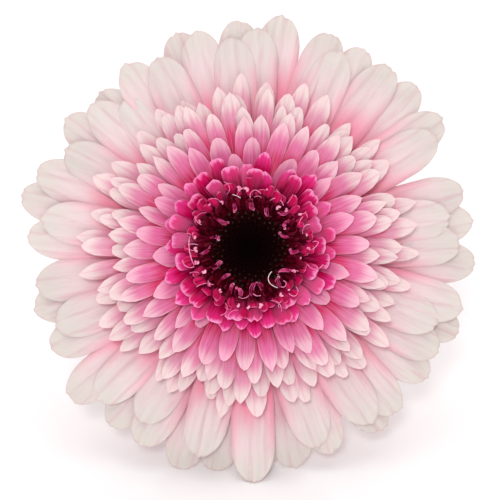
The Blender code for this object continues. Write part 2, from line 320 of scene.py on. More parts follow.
def set_flow(obj: Object, across: np.ndarray, run: np.ndarray) -> None:
    """Store where each point lies across and along its piece.

    Args:
        obj: The object.
        across: The points' places across, in the units of the piece's ribs or half width.
        run: Their places along, in metres.
    """
    corners = np.empty(len(obj.data.loops), int)
    obj.data.loops.foreach_get("vertex_index", corners)
    flow = np.stack((across, run / TIP_UNIT), axis=1)
    layer = obj.data.uv_layers.new(name="Flow")
    layer.uv.foreach_set("vector", flow[corners].astype(np.float32).ravel())


def moved(points: np.ndarray, matrix: Matrix) -> np.ndarray:
    """Points, one row each, taken through a matrix."""
    matrix = np.array(matrix)
    return points @ matrix[:3, :3].T + matrix[:3, 3]


def around(angle: float, radius: float) -> Pair:
    """Where a bearing from the top of the face, in radians, and a radius lie."""
    return math.sin(angle) * radius, math.cos(angle) * radius


@dataclass(frozen=True)
class Head:
    """The head's place and lean, as the solids have them.

    Its own axes are X to the right, Y up the face and Z towards the viewer.
    """

    centre: tuple[float, float, float] = (0.35 * MM, -101.5 * MM, 48.2 * MM)
    lean: float = math.radians(25)

    @property
    def matrix(self) -> Matrix:
        """From the head's own axes to the row frame."""
        return Matrix.Translation(self.centre) @ Matrix.Rotation(math.pi / 2 - self.lean, 4, "X")

    @property
    def axis(self) -> Vector:
        """The way that the face looks."""
        return Vector((0.0, -math.cos(self.lean), math.sin(self.lean)))

    def placed(self, points: np.ndarray) -> np.ndarray:
        """Points given in the head's own axes, in the row frame."""
        return moved(points, self.matrix)


HEAD = Head()


@dataclass(frozen=True)
class Arc:
    """A petal's middle line in radius and height: part of a circle from its root to its reach.

    The rises are its slopes at both ends in degrees.
    """

    root: Pair
    reach: float
    rises: Pair

    @property
    def turn(self) -> tuple[float, float, float]:
        """The bend that the line makes.

        Returns:
            Its first slope and its bend in radians, and its length.
        """
        first, last = (math.radians(rise) for rise in self.rises)
        bend = last - first or NO_BEND
        span = math.sin(first + bend) - math.sin(first)
        return first, bend, (self.reach - self.root[0]) * bend / span

    def at(self, share: np.ndarray) -> tuple[np.ndarray, np.ndarray, np.ndarray]:
        """Places on the line.

        Args:
            share: How far along each is, as a share of the length.

        Returns:
            Their radii, heights and slopes.
        """
        first, bend, length = self.turn
        rise = first + bend * share
        radius = self.root[0] + length * (np.sin(rise) - math.sin(first)) / bend
        height = self.root[1] + length * (math.cos(first) - np.cos(rise)) / bend
        return radius, height, rise


@dataclass(frozen=True)
class Blade:
    """Where one petal lies, and what is its own about it.

    The bearing is in degrees clockwise from the top, the row runs from 0, outermost, to 1, and the
    chance is a random share that its colours and patterns are drawn with.
    """

    arc: Arc
    bearing: float
    width: float
    row: float = 0.0
    swerve: float = 0.0
    twist: float = 0.0
    crease: float = 0.0
    notch: float = 0.0
    notch_at: float = 0.0
    curl: float = 0.0
    wave: float = 0.0
    phase: float = 0.0
    hood: float = 0.0
    fold: float = 1.0
    chance: float = 0.5


def drawn(draw: random.Random, ranges: Ranges) -> dict[str, float]:
    """Draw what is a blade's own.

    Args:
        draw: What the draws come from.
        ranges: For each of the blade's fields, in the order of the draws, two values to draw
            between, or more to choose from.

    Returns:
        The fields' values.
    """
    return {name: draw.uniform(*values) if len(values) == 2 else draw.choice(values)
            for name, values in ranges}


@dataclass(frozen=True)
class Form:
    """What all petals of a kind share: narrow root, full middle, rounded point and thin rim.

    Crowd is how closely the faces stand towards the tip. A tooth lies on each side of the tip, at
    a share of the half width.
    """

    root_width: float
    taper: float
    thickness: float = 0.34 * MM
    rim: float = 0.12 * MM
    camber: float = 0.5 * MM
    bluntness: float = TIP_BLUNTNESS
    blunt_play: float = 0.0
    roll: float = 0.0
    groove: float = 0.0
    grooves: int = 2
    crowd: float = 1.5
    ripple: float = 0.1 * MM
    teeth: float = 0.0
    teeth_at: float = 0.156
    teeth_width: float = 0.08


class Mould:
    """A piece that is modelled once. Each cast is a copy with its own mesh."""

    def __init__(self, obj: Object) -> None:
        """Read the master piece.

        Args:
            obj: The master, which stays unseen and is removed at the end.
        """
        self.obj = obj
        self.points = points_of(obj)

    def cast(self, name: str, points: np.ndarray, **values: np.ndarray | float) -> Object:
        """Copy the master with new places for its points.

        Args:
            name: The copy's name.
            points: The places, one row each.
            values: Attributes that the materials read.

        Returns:
            The copy.
        """
        made = added(name, self.obj.data.copy())
        set_points(made, points)
        give(made, **values)
        return made

    def remove(self) -> None:
        """Delete the master."""
        bpy.data.objects.remove(self.obj, do_unlink=True)


class Sheet(Mould):
    """A flat closed sheet that petals, bracts and lips are laid from.

    The values are what all of them share. A pair is where on the length a form starts, and the
    share of the length in which it comes to its full size.
    """

    notch_width: float = 0.2
    ripples: float = 8
    ripple_turn: float = 3
    rolled: float = 1.5
    late: Pair = (0.45, 0.5)
    curled: Pair = (0.72, 0.28)
    creased: Pair = (0.2, 0.4)
    crease_width: float = 0.13
    ridge_play: float = 0.12
    ridged: Pair = (0.0, 0.5)
    waves: float = 7
    wave_lean: float = 1.7
    thin_tip: float = 0.45
    thin_reach: float = 2 * MM
    edge_reach: float = 0.25 * MM
    floor_gap: float = 0.02 * MM
    floor_body: float = 0.2 * MM

    def __init__(self, along: int, across: int) -> None:
        """Model the master: a grid that is given a wall.

        Args:
            along: Faces from root to tip.
            across: Faces from side to side.
        """
        deselect()
        bpy.ops.mesh.primitive_grid_add(x_subdivisions=along, y_subdivisions=across, size=2)
        obj = bpy.context.object
        obj.data.uv_layers.remove(obj.data.uv_layers[0])
        apply_modifier(obj, "SOLIDIFY", thickness=1.0, offset=0.0)
        super().__init__(obj)
        self.along = (self.points[:, 0] + 1) / 2
        # A petal's own side runs against the grid's, or its faces would point inwards.
        self.across = -np.sin(self.points[:, 1] * math.pi / 2)
        self.side = np.sign(self.points[:, 2])

    def ends(self, blade: Blade, form: Form) -> np.ndarray:
        """Cut the sheet's end to a rounded tip with its notch, ripples and teeth.

        Args:
            blade: Where the petal lies.
            form: The form of its kind.

        Returns:
            How far along the arc the sheet reaches, on the line of each of its points.
        """
        v = self.across
        bluntness = form.bluntness + form.blunt_play * (blade.chance - sum(CHANCES) / 2)
        ease = np.abs(v) ** (1 / bluntness)
        end = blade.arc.turn[2] - form.taper * (1 - np.sqrt(np.maximum(1 - ease, 0.0)))
        end = end - blade.notch * np.exp(-((v - blade.notch_at) / self.notch_width) ** 2)
        ripple = np.sin(v * self.ripples + blade.phase * self.ripple_turn)
        end = end + form.ripple * ripple * (1 - v ** 2)
        teeth = np.exp(-((np.abs(v) - form.teeth_at) / form.teeth_width) ** 2)
        return end - form.teeth * blade.fold * teeth

    def lift(self, blade: Blade, form: Form, share: np.ndarray, half: np.ndarray) -> np.ndarray:
        """Raise the sheet off its arc: camber, rolled sides, hood, curl, crease, flutes and waves.

        Args:
            blade: Where the petal lies.
            form: The form of its kind.
            share: How far along its length each point is.
            half: Half the petal's width there.

        Returns:
            How far each point stands off the arc.
        """
        v = self.across
        roll = form.roll * np.sin(blade.phase + self.rolled * v)
        lift = -(form.camber * v ** 2 + roll * v ** 8) * half / (blade.width / 2)
        late = eased(share, *self.late)
        lift = lift + blade.hood * v ** 2 * late + blade.curl * eased(share, *self.curled) ** 2
        crease = np.exp(-(v / self.crease_width) ** 2) * eased(share, *self.creased)
        aside = v + self.ridge_play * math.sin(blade.phase)
        ridges = np.cos(aside * math.pi * (form.grooves + 0.5)) * (1 - v ** 2)
        ridges = form.groove * blade.fold * ridges * eased(share, *self.ridged)
        waves = np.sin(share * self.waves + blade.phase + v * self.wave_lean) * v * late
        return lift - blade.crease * crease + ridges + blade.wave * waves

    def bend(self, blade: Blade, share: np.ndarray, aside: np.ndarray,
             lift: np.ndarray) -> np.ndarray:
        """Bend the sheet along its arc, let it swerve and twist it.

        Args:
            blade: Where the petal lies.
            share: How far along its length each point is.
            aside: How far each point is from the middle line.
            lift: How far each point stands off the arc.

        Returns:
            The points in the row frame.
        """
        radius, height, rise = blade.arc.at(share)
        angle = math.radians(blade.bearing)
        along = np.array((math.sin(angle), math.cos(angle), 0.0))
        across = np.array((math.cos(angle), -math.sin(angle), 0.0))
        out = np.array((0.0, 0.0, 1.0))
        up = -np.sin(rise)[:, None] * along + np.cos(rise)[:, None] * out
        middle = (radius[:, None] * along + height[:, None] * out
                  + (blade.swerve * share ** 2)[:, None] * across)
        turn = blade.twist * share
        cos, sin = np.cos(turn)[:, None], np.sin(turn)[:, None]
        flat = np.cross(along, across)
        side_way = cos * across + sin * flat
        up_flat = (up @ across)[:, None] * across + (up @ flat)[:, None] * flat
        up_way = up + (cos - 1) * up_flat + sin * np.cross(along, up)
        return HEAD.placed(middle + aside[:, None] * side_way + lift[:, None] * up_way)

    def lay(self, name: str, blade: Blade, form: Form, floor: bool = False) -> Object:
        """One petal, laid along its arc.

        Args:
            name: The copy's name.
            blade: Where it lies.
            form: The form of its kind.
            floor: Whether it may touch the surface, and then lies flat on it.

        Returns:
            The petal.
        """
        v = self.across
        length = blade.arc.turn[2]
        end = self.ends(blade, form)
        run = (1 - (1 - self.along) ** form.crowd) * end
        share = run / length
        wide = form.root_width + (blade.width - form.root_width) * smooth(share / FULL_WIDTH_SHARE)
        half = wide / 2
        body = form.rim + (form.thickness - form.rim) * np.sqrt(np.maximum(1 - v ** 2, 0.0))
        body = body * (self.thin_tip + (1 - self.thin_tip) * smooth((end - run) / self.thin_reach))
        lift = self.lift(blade, form, share, half) + self.side * body / 2
        points = self.bend(blade, share, v * half, lift)
        if floor:
            least = np.where(self.side > 0, self.floor_body, self.floor_gap)
            points[:, 2] = np.maximum(points[:, 2], least)
        nearness = np.minimum(half * (1 - np.abs(v)), end - run)
        made = self.cast(name, points, row=blade.row, chance=blade.chance,
                         tip=(blend((length, end), FADE_CURVE) - run) / TIP_UNIT,
                         edge=np.exp(-nearness / self.edge_reach), back=(1 - self.side) / 2)
        set_flow(made, v, run)
        return made


class Shading:
    """The nodes of one material, with short calls for those used here."""

    def __init__(self, name: str) -> None:
        """Start a material with a Principled shader.

        Args:
            name: The material's name.
        """
        self.material = bpy.data.materials.new(name)
        self.material.use_nodes = True
        self.tree = self.material.node_tree
        self.shader = self.tree.nodes["Principled BSDF"]
        self.held: dict[str, Socket] = {}

    def plug(self, socket: Socket, value: object) -> None:
        """Link a socket to another, or give it a fixed value.

        Args:
            socket: The input.
            value: A socket, a value, or None to leave the input alone.
        """
        if isinstance(value, Socket):
            self.tree.links.new(value, socket)
        elif value is not None:
            socket.default_value = value

    def add(self, kind: str, *values: object, **settings: object) -> bpy.types.Node:
        """Add a node.

        Args:
            kind: Its type, without the word that all shader nodes start with.
            values: What its inputs get, in their order.
            settings: Its other settings.

        Returns:
            The node.
        """
        made = self.tree.nodes.new("ShaderNode" + kind)
        for key, value in settings.items():
            setattr(made, key, value)
        for socket, value in zip(made.inputs, values):
            self.plug(socket, value)
        return made

    def fill(self, node: bpy.types.Node, **values: object) -> bpy.types.Node:
        """Give a node's inputs their values.

        Args:
            node: The node.
            values: What its inputs get, by their names with a low line for each space.

        Returns:
            The same node.
        """
        for key, value in values.items():
            self.plug(node.inputs[key.replace("_", " ")], value)
        return node

    def attribute(self, name: str) -> Socket:
        """A value that the mesh holds.

        Args:
            name: The attribute's name.

        Returns:
            The value, from the one node that reads it.
        """
        if name not in self.held:
            self.held[name] = self.add("Attribute", attribute_name=name).outputs["Fac"]
        return self.held[name]

    def math(self, operation: str, first: object, second: object = None) -> Socket:
        """The result of a sum of two values."""
        return self.add("Math", first, second, operation=operation).outputs[0]

    def times(self, first: object, second: object) -> Socket:
        """The product of two values."""
        return self.math("MULTIPLY", first, second)

    def plus(self, first: object, second: object) -> Socket:
        """Two values added."""
        return self.math("ADD", first, second)

    def span(self, value: Socket, low: float, high: float, first: float = 0.0,
             last: float = 1.0) -> Socket:
        """A value between low and high, eased to the range from first to last."""
        return self.add("MapRange", value, low, high, first, last,
                        interpolation_type="SMOOTHSTEP").outputs[0]

    def mix(self, share: object, first: object, second: object, kind: str = "MIX") -> Socket:
        """Mix two colours.

        Args:
            share: The share of the second.
            first: A socket or a display colour.
            second: A socket or a display colour.
            kind: The way they mix.

        Returns:
            The mixed colour.
        """
        node = self.add("Mix", data_type="RGBA", blend_type=kind)
        inputs = {socket.identifier: socket for socket in node.inputs}
        for name, value in (("Factor_Float", share), ("A_Color", first), ("B_Color", second)):
            self.plug(inputs[name], linear(value) if isinstance(value, tuple) else value)
        return next(socket for socket in node.outputs if socket.identifier == "Result_Color")

    def combine(self, x: object, y: object, z: object) -> Socket:
        """Three values as a vector."""
        return self.add("CombineXYZ", x, y, z).outputs[0]

    def place(self) -> Socket:
        """The place in the row frame."""
        return self.add("TexCoord").outputs["Object"]

    def noise(self, vector: Socket, scale: float, detail: float = 2.0,
              roughness: float = 0.5) -> Socket:
        """A soft random value round a half."""
        return self.fill(self.add("TexNoise"), Vector=vector, Scale=scale, Detail=detail,
                         Roughness=roughness).outputs[0]

    @cached_property
    def own(self) -> Socket:
        """A place in the space of patterns, of each petal's own."""
        return self.times(self.attribute("chance"), OWN_PATTERN)

    @cached_property
    def flow(self) -> Sequence[Socket]:
        """Where the surface lies across and along its petal."""
        return self.add("SeparateXYZ", self.add("UVMap", uv_map="Flow").outputs[0]).outputs

    def tip(self) -> Socket:
        """How far the surface is from the tip, in mm."""
        return self.times(self.attribute("tip"), TIP_UNIT / MM)

    def lengthwise(self, across: float, along: float, detail: float = 2.0,
                   roughness: float = 0.5) -> Socket:
        """A soft random value, drawn out along the petal and its own on each.

        Args:
            across: How fast it changes from side to side.
            along: How fast it changes along the petal.
            detail: How many finer layers it has.
            roughness: How strong they are.

        Returns:
            The value, round a half.
        """
        place = self.combine(self.times(self.flow[0], across), self.times(self.flow[1], along),
                             self.own)
        return self.noise(place, 1.0, detail, roughness)

    def bump(self, height: Socket, strength: float, distance: float) -> None:
        """Let a height turn the surface's normal.

        Args:
            height: The height, as a share of the distance.
            strength: How much of it counts.
            distance: The real height that it stands for.
        """
        node = self.fill(self.add("Bump"), Height=height, Strength=strength, Distance=distance)
        self.fill(self.shader, Normal=node.outputs[0])


@dataclass(frozen=True)
class Surface:
    """How a finish takes light: its gloss, its relief, its sheen and its glow under the skin.

    What is None stays as the shader has it.
    """

    roughness: float
    relief: float
    relief_share: float = 0.5
    shine: float | None = None
    sheen: float | None = None
    sheen_roughness: float | None = None
    glow: float | None = None
    glow_reach: float | None = None
    glow_tint: tuple[float, float, float] | None = None

    def dress(self, nodes: Shading, colour: Socket, height: Socket) -> Material:
        """Finish a material.

        Args:
            nodes: Its nodes.
            colour: Its colour.
            height: The pattern of its relief.

        Returns:
            The material.
        """
        nodes.fill(nodes.shader, Base_Color=colour, Roughness=self.roughness,
                   Specular_IOR_Level=self.shine, Sheen_Weight=self.sheen,
                   Sheen_Roughness=self.sheen_roughness, Subsurface_Weight=self.glow,
                   Subsurface_Radius=self.glow_tint, Subsurface_Scale=self.glow_reach)
        nodes.bump(height, self.relief_share, self.relief)
        return nodes.material


PETAL_SURFACE = Surface(0.5, 0.2 * MM, shine=0.16, sheen=0.03, sheen_roughness=0.45, glow=0.5,
                        glow_reach=0.5 * MM, glow_tint=(1.0, 0.85, 0.88))
VELVET_SURFACE = Surface(0.8, 0.05 * MM, 0.4, shine=0.02)
LIP_SURFACE = Surface(0.45, 0.1 * MM, shine=0.06, glow=0.1, glow_reach=0.3 * MM,
                      glow_tint=(1.0, 0.3, 0.35))
GLOSSY_SURFACE = Surface(0.35, 0.05 * MM, 0.15, shine=0.25, glow=0.2, glow_reach=0.3 * MM,
                         glow_tint=(1.0, 0.5, 0.5))
GREEN_SURFACE = Surface(0.55, 0.15 * MM, 0.4, sheen=0.35, sheen_roughness=0.5, glow=0.1,
                        glow_reach=0.5 * MM, glow_tint=(0.5, 1.0, 0.2))
CUT_SURFACE = Surface(0.42, 0.15 * MM)


@dataclass(frozen=True)
class PetalFinish:
    """Satin petal: pale at its tip and deeper towards its root, with fine lengthwise veins.

    The first three colours are pairs, for the outermost row and for the innermost. The fades are
    how far from the tip, in mm, the pale colour ends and the middle and the deep one are reached.
    Play is how much paler a petal may be than its neighbours. Some colours are painted light
    and shade: the sides deepen where neighbours overlap them, the root colour stands partly for
    the shade in the crevices, and the rim is a line of painted shade or highlight, as it is
    darker or paler.
    """

    name: str
    pale: tuple[Colour, Colour]
    middle: tuple[Colour, Colour]
    deep: tuple[Colour, Colour]
    vein: Colour
    line: Colour
    # The rim colour is painted along the edges: shade where it is darker, highlight where it is
    # paler.
    rim: Colour
    back: Colour
    # The root colour shows only in the crevices between petals: it is partly their own deeper root
    # and partly painted shade.
    root: Colour
    fades: tuple[float, float, float]
    root_fade: Pair
    pale_rows: Pair = (0.55, 1.15)
    deep_rows: Pair = (0.2, 1.0)
    row_shift: float = 0.0
    play: float = 0.0
    play_spread: float = 5.0
    play_from: float = 0.45
    # The colour mixed in at a petal's sides is painted shade, where its neighbours overlap it.
    side_shade: float = 0.6
    side_shade_from: float = 0.45
    side_shade_end: float = 0.7
    streaks: float = 3.0
    streak_stretch: float = 0.7
    streak_reach: float = 2.2
    veins: float = 11.0
    vein_stretch: float = 1.2
    vein_edge: Pair = (0.4, 0.7)
    vein_share: float = 0.3
    lines: float = 2.5
    line_bend: float = 0.5
    line_edge: Pair = (-0.5, -1.0)
    line_gaps: Pair = (0.3, 0.6)
    line_share: float = 0.2
    rim_share: float = 0.25
    rim_reach: float = 60.0
    back_share: float = 0.7
    lightness: Pair = (0.96, 0.07)
    grain: float = 0.6
    swell: float = 1.5
    surface: Surface = PETAL_SURFACE

    def ground(self, nodes: Shading, tip: Socket, shift: Socket) -> Socket:
        """Colour the petal from its tip to its root, with painted shade at its sides and in its
        crevices.

        Args:
            nodes: The material's nodes.
            tip: How far the surface is from the tip, in mm.
            shift: How far the streaks move the fades there, in mm.

        Returns:
            The colour without its marks.
        """
        row = nodes.attribute("row")
        depth = nodes.plus(tip, shift)
        pale = nodes.mix(nodes.span(row, *self.pale_rows), *self.pale)
        inward = nodes.span(row, *self.deep_rows)
        middle, deep = nodes.mix(inward, *self.middle), nodes.mix(inward, *self.deep)
        colour = nodes.mix(nodes.span(depth, *self.fades[:2]), pale, middle)
        colour = nodes.mix(nodes.span(depth, *self.fades[1:]), colour, deep)
        # Painted shade: the sides of each petal, where its neighbours overlap it, deepen towards
        # the deep colour.
        side = nodes.span(nodes.math("ABSOLUTE", nodes.flow[0]), self.side_shade_from, 1.0, 0.0,
                          self.side_shade)
        side = nodes.times(side, nodes.span(tip, self.fades[0], self.fades[2] * self.side_shade_end))
        colour = nodes.mix(side, colour, deep)
        odd = nodes.math("FRACT", nodes.times(nodes.attribute("chance"), self.play_spread))
        colour = nodes.mix(nodes.span(odd, self.play_from, 1.0, 0.0, self.play), colour, pale)
        # Partly the petals' own deeper root, partly painted shade in the crevices where it shows.
        colour = nodes.mix(nodes.span(depth, *self.root_fade), colour, self.root)
        behind = nodes.times(nodes.attribute("back"), self.back_share)
        return nodes.mix(behind, colour, self.back)

    def marked(self, nodes: Shading, colour: Socket, tip: Socket, broad: Socket,
               fine: Socket) -> Socket:
        """Draw the veins, the darker lines and the rim, a line of painted shade where its colour
        is darker and of painted highlight where it is paler.

        Args:
            nodes: The material's nodes.
            colour: The colour without marks.
            tip: How far the surface is from the tip, in mm.
            broad: The pattern of the streaks.
            fine: The pattern of the veins.

        Returns:
            The colour with its marks.
        """
        colour = nodes.mix(nodes.span(fine, *self.vein_edge, 0.0, self.vein_share), colour,
                           self.vein)
        bent = nodes.plus(nodes.flow[0], nodes.times(broad, self.line_bend))
        wave = nodes.math("COSINE", nodes.times(bent, self.lines * math.pi))
        line = nodes.span(wave, *self.line_edge, 0.0, self.line_share)
        colour = nodes.mix(nodes.times(line, nodes.span(fine, *self.line_gaps)), colour, self.line)
        # The rim is painted light and shade along the edges: a darker line of shade on the rays, a
        # paler highlight on the florets.
        edge = nodes.times(nodes.attribute("edge"),
                           nodes.span(tip, self.rim_reach, 0.0, 0.0, self.rim_share))
        return nodes.mix(edge, colour, self.rim)

    def material(self) -> Material:
        """Build the material.

        Returns:
            The material.
        """
        nodes = Shading(self.name)
        tip = nodes.tip()
        broad = nodes.lengthwise(self.streaks, self.streak_stretch)
        fine = nodes.lengthwise(self.veins, self.vein_stretch, FINE_LAYERS, FINE_STRENGTH)
        shift = nodes.times(nodes.math("SUBTRACT", broad, 0.5), self.streak_reach * 2)
        shift = nodes.plus(shift, nodes.times(nodes.attribute("row"), self.row_shift))
        colour = self.marked(nodes, self.ground(nodes, tip, shift), tip, broad, fine)
        least, more = self.lightness
        lightness = nodes.plus(least, nodes.times(nodes.attribute("chance"), more))
        colour = nodes.mix(1.0, colour, nodes.combine(lightness, lightness, lightness), "MULTIPLY")
        height = nodes.plus(nodes.times(fine, self.grain), nodes.times(broad, self.swell))
        return self.surface.dress(nodes, colour, height)


RAY_FINISH = PetalFinish(
    "pale_ray",
    pale=((209, 206, 198), (210, 206, 199)),
    middle=((222, 206, 206), (222, 206, 206)),
    deep=((241, 147, 172), (241, 147, 172)),
    vein=(206, 170, 177),
    line=(194, 148, 157),
    # Darker rim: painted shade along the rays' edges.
    rim=(182, 146, 145),
    back=(250, 216, 219),
    root=(235, 90, 136),
    fades=(2.0, 10.0, 20.0),
    root_fade=(18.5, 30.5),
    streaks=1.7,
    streak_reach=3.5,
    veins=6.0,
    vein_share=0.2,
    rim_share=0.42,
    line_share=0.24,
    grain=0.25,
    side_shade=0.66,
    surface=replace(PETAL_SURFACE, relief=0.3 * MM, glow=0.25),
)
TRANS_FINISH = PetalFinish(
    "rose_floret",
    pale=((222, 208, 204), (232, 146, 187)),
    middle=((212, 154, 174), (213, 98, 153)),
    deep=((214, 72, 120), (200, 6, 91)),
    vein=(238, 190, 204),
    line=(208, 80, 128),
    # Paler rim: a painted highlight along the florets' edges.
    rim=(246, 206, 212),
    back=(238, 160, 186),
    root=(190, 8, 82),
    fades=(1.8, 5.9, 10.6),
    root_fade=(11.0, 19.0),
    row_shift=1.2,
    vein_share=0.24,
    rim_share=0.4,
    rim_reach=12.0,
    side_shade=0.4,
    surface=replace(PETAL_SURFACE, shine=0.1, sheen=0.02, glow=0.35),
)
INNER_FINISH = PetalFinish(
    "deep_floret",
    # The pale tips are partly the florets' own paler tips and partly a painted highlight, in place
    # of gloss.
    pale=((240, 150, 198), (238, 112, 172)),
    middle=((216, 52, 132), (195, 0, 82)),
    deep=((186, 0, 75), (134, 0, 41)),
    vein=(232, 70, 150),
    line=(166, 0, 70),
    # Paler rim: a painted highlight, in place of gloss.
    rim=(246, 160, 200),
    back=(206, 60, 124),
    root=(104, 0, 34),
    play=0.34,
    fades=(0.1, 1.4, 4.6),
    root_fade=(4.0, 7.5),
    rim_share=0.5,
    rim_reach=3.6,
    streak_reach=1.8,
    veins=4.0,
    vein_share=0.22,
    line_share=0.12,
    surface=replace(PETAL_SURFACE, roughness=0.42, shine=0.02, sheen=0.0),
)


@dataclass(frozen=True)
class OuterRays:
    """Three rows of broad pale rays: bearing clockwise from the top in degrees, reach in mm."""

    back: tuple[Pair, ...] = (
        (8, 55.4), (30, 54.2), (46, 55.0), (56, 54.6), (83, 52.9), (94, 53.2), (112, 53.2),
        (126, 51.9), (144, 53.3), (168, 53.3), (179, 55.0), (198, 55.0), (218, 53.3), (230, 55.2),
        (254, 52.8), (283, 55.2), (305, 53.2), (316, 51.0), (341, 53.6), (357, 53.5),
    )
    middle: tuple[Pair, ...] = (
        (2, 51.7), (21, 54.0), (38, 54.0), (75, 51.9), (89, 49.4), (106, 51.9), (119, 50.8),
        (138, 52.2), (158, 52.3), (175, 51.6), (189, 53.3), (209, 53.2), (243, 52.3), (260, 51.0),
        (273, 52.5), (290, 53.3), (312, 50.2), (326, 52.3), (346, 52.4),
    )
    front: tuple[Pair, ...] = (
        (25, 51.0), (59, 51.0), (81, 47.7), (112, 47.5), (145, 50.1), (161, 49.6), (194, 50.3),
        (212, 48.3), (225, 50.9), (248, 49.1), (278, 49.4), (298, 49.1), (319, 45.7),
        (334, 49.5), (355, 49.5),
    )
    width: float = 10.2 * MM
    root_radius: float = 11.0 * MM
    root_height: float = 0.9 * MM
    layer_step: float = 0.35 * MM
    rise: Pair = (9.0, -9.0)
    layer_rise: Pair = (1.6, 1.3)
    jitter_rise: float = 1.2
    jitter_twist: float = 3.0
    overlap: float = 13
    pressed_span: float = 21
    creases: tuple[float, ...] = (0.3 * MM, 0.6 * MM, 0.45 * MM)
    front_creases: tuple[float, ...] = (0.12 * MM, 0.0)
    own: Ranges = (
        ("notch", (0.0, 0.2 * MM, 0.4 * MM)), ("notch_at", (-0.35, 0.35)),
        ("curl", (-0.5 * MM, 0.5 * MM)), ("wave", (0.1 * MM, 0.3 * MM)), ("phase", PHASES),
        ("fold", (0.6, 1.4)), ("chance", CHANCES),
    )
    form: Form = Form(root_width=3.4 * MM, taper=8.6 * MM, camber=0.55 * MM, roll=0.35 * MM,
                      groove=0.34 * MM, grooves=2, bluntness=0.56, blunt_play=0.12,
                      teeth=0.32 * MM)
    faces: tuple[int, int] = (24, 20)

    def layers(self, rays: Sequence[Pair]) -> list[int]:
        """Stack the rays.

        Args:
            rays: Bearing and reach of each, from the back.

        Returns:
            Each ray's layer: one above the highest of the earlier rays that it covers.
        """
        found: list[int] = []
        for n, (bearing, _) in enumerate(rays):
            under = [found[m] for m in range(n)
                     if turn_between(bearing, rays[m][0]) < self.overlap]
            found.append(1 + max(under, default=-1))
        return found

    def pressed(self, arc: Arc, bearing: float) -> Arc:
        """Bend a ray until its tip touches the surface.

        Args:
            arc: The ray's arc.
            bearing: Its bearing, near the bottom of the head.

        Returns:
            The bent arc.
        """
        drop = arc.reach * math.cos(math.radians(180 - bearing)) * math.cos(HEAD.lean)
        height = (drop - HEAD.centre[2]) / math.sin(HEAD.lean)
        chord = math.degrees(math.atan2(height - arc.root[1], arc.reach - arc.root[0]))
        return replace(arc, rises=(arc.rises[0], 2 * chord - arc.rises[0]))

    def blades(self) -> list[tuple[Row, Blade]]:
        """Place every ray.

        Returns:
            Each ray with its row, from the back.
        """
        draw, own = random.Random(SEED), random.Random(EXTRA_SEED)
        rows = [Row.BACK] * len(self.back) + [Row.MIDDLE] * len(self.middle)
        rows += [Row.FRONT] * len(self.front)
        rays = [(bearing, reach * MM) for bearing, reach in self.back + self.middle + self.front]
        made = []
        for row, (bearing, reach), layer in zip(rows, rays, self.layers(rays)):
            root = (self.root_radius, self.root_height + self.layer_step * layer)
            rises = [rise + step * layer for rise, step in zip(self.rise, self.layer_rise)]
            rises[1] += draw.uniform(-1, 1) * self.jitter_rise
            twist = math.radians(draw.uniform(-1, 1) * self.jitter_twist)
            arc = Arc(root, reach, tuple(rises))
            crease = own.choice(self.front_creases if row is Row.FRONT else self.creases)
            blade = Blade(arc, bearing, self.width, row.value, twist=twist, crease=crease,
                          **drawn(own, self.own))
            if turn_between(bearing, 180) < self.pressed_span and row is not Row.FRONT:
                blade = replace(blade, arc=self.pressed(arc, bearing), twist=0.0, curl=0.0)
            made.append((row, blade))
        return made

    def build(self, look: Material) -> None:
        """Lay the rays, one piece for each row.

        Args:
            look: Their material.
        """
        sheet = Sheet(*self.faces)
        laid: dict[Row, list[Object]] = {row: [] for row in Row}
        for n, (row, blade) in enumerate(self.blades()):
            laid[row].append(sheet.lay(f"ray_{n}", blade, self.form, floor=True))
        for row, rays in laid.items():
            name = f"outer_rays_{row.name.lower()}"
            finished(joined(name, rays), Part.RAYS, look)
        sheet.remove()


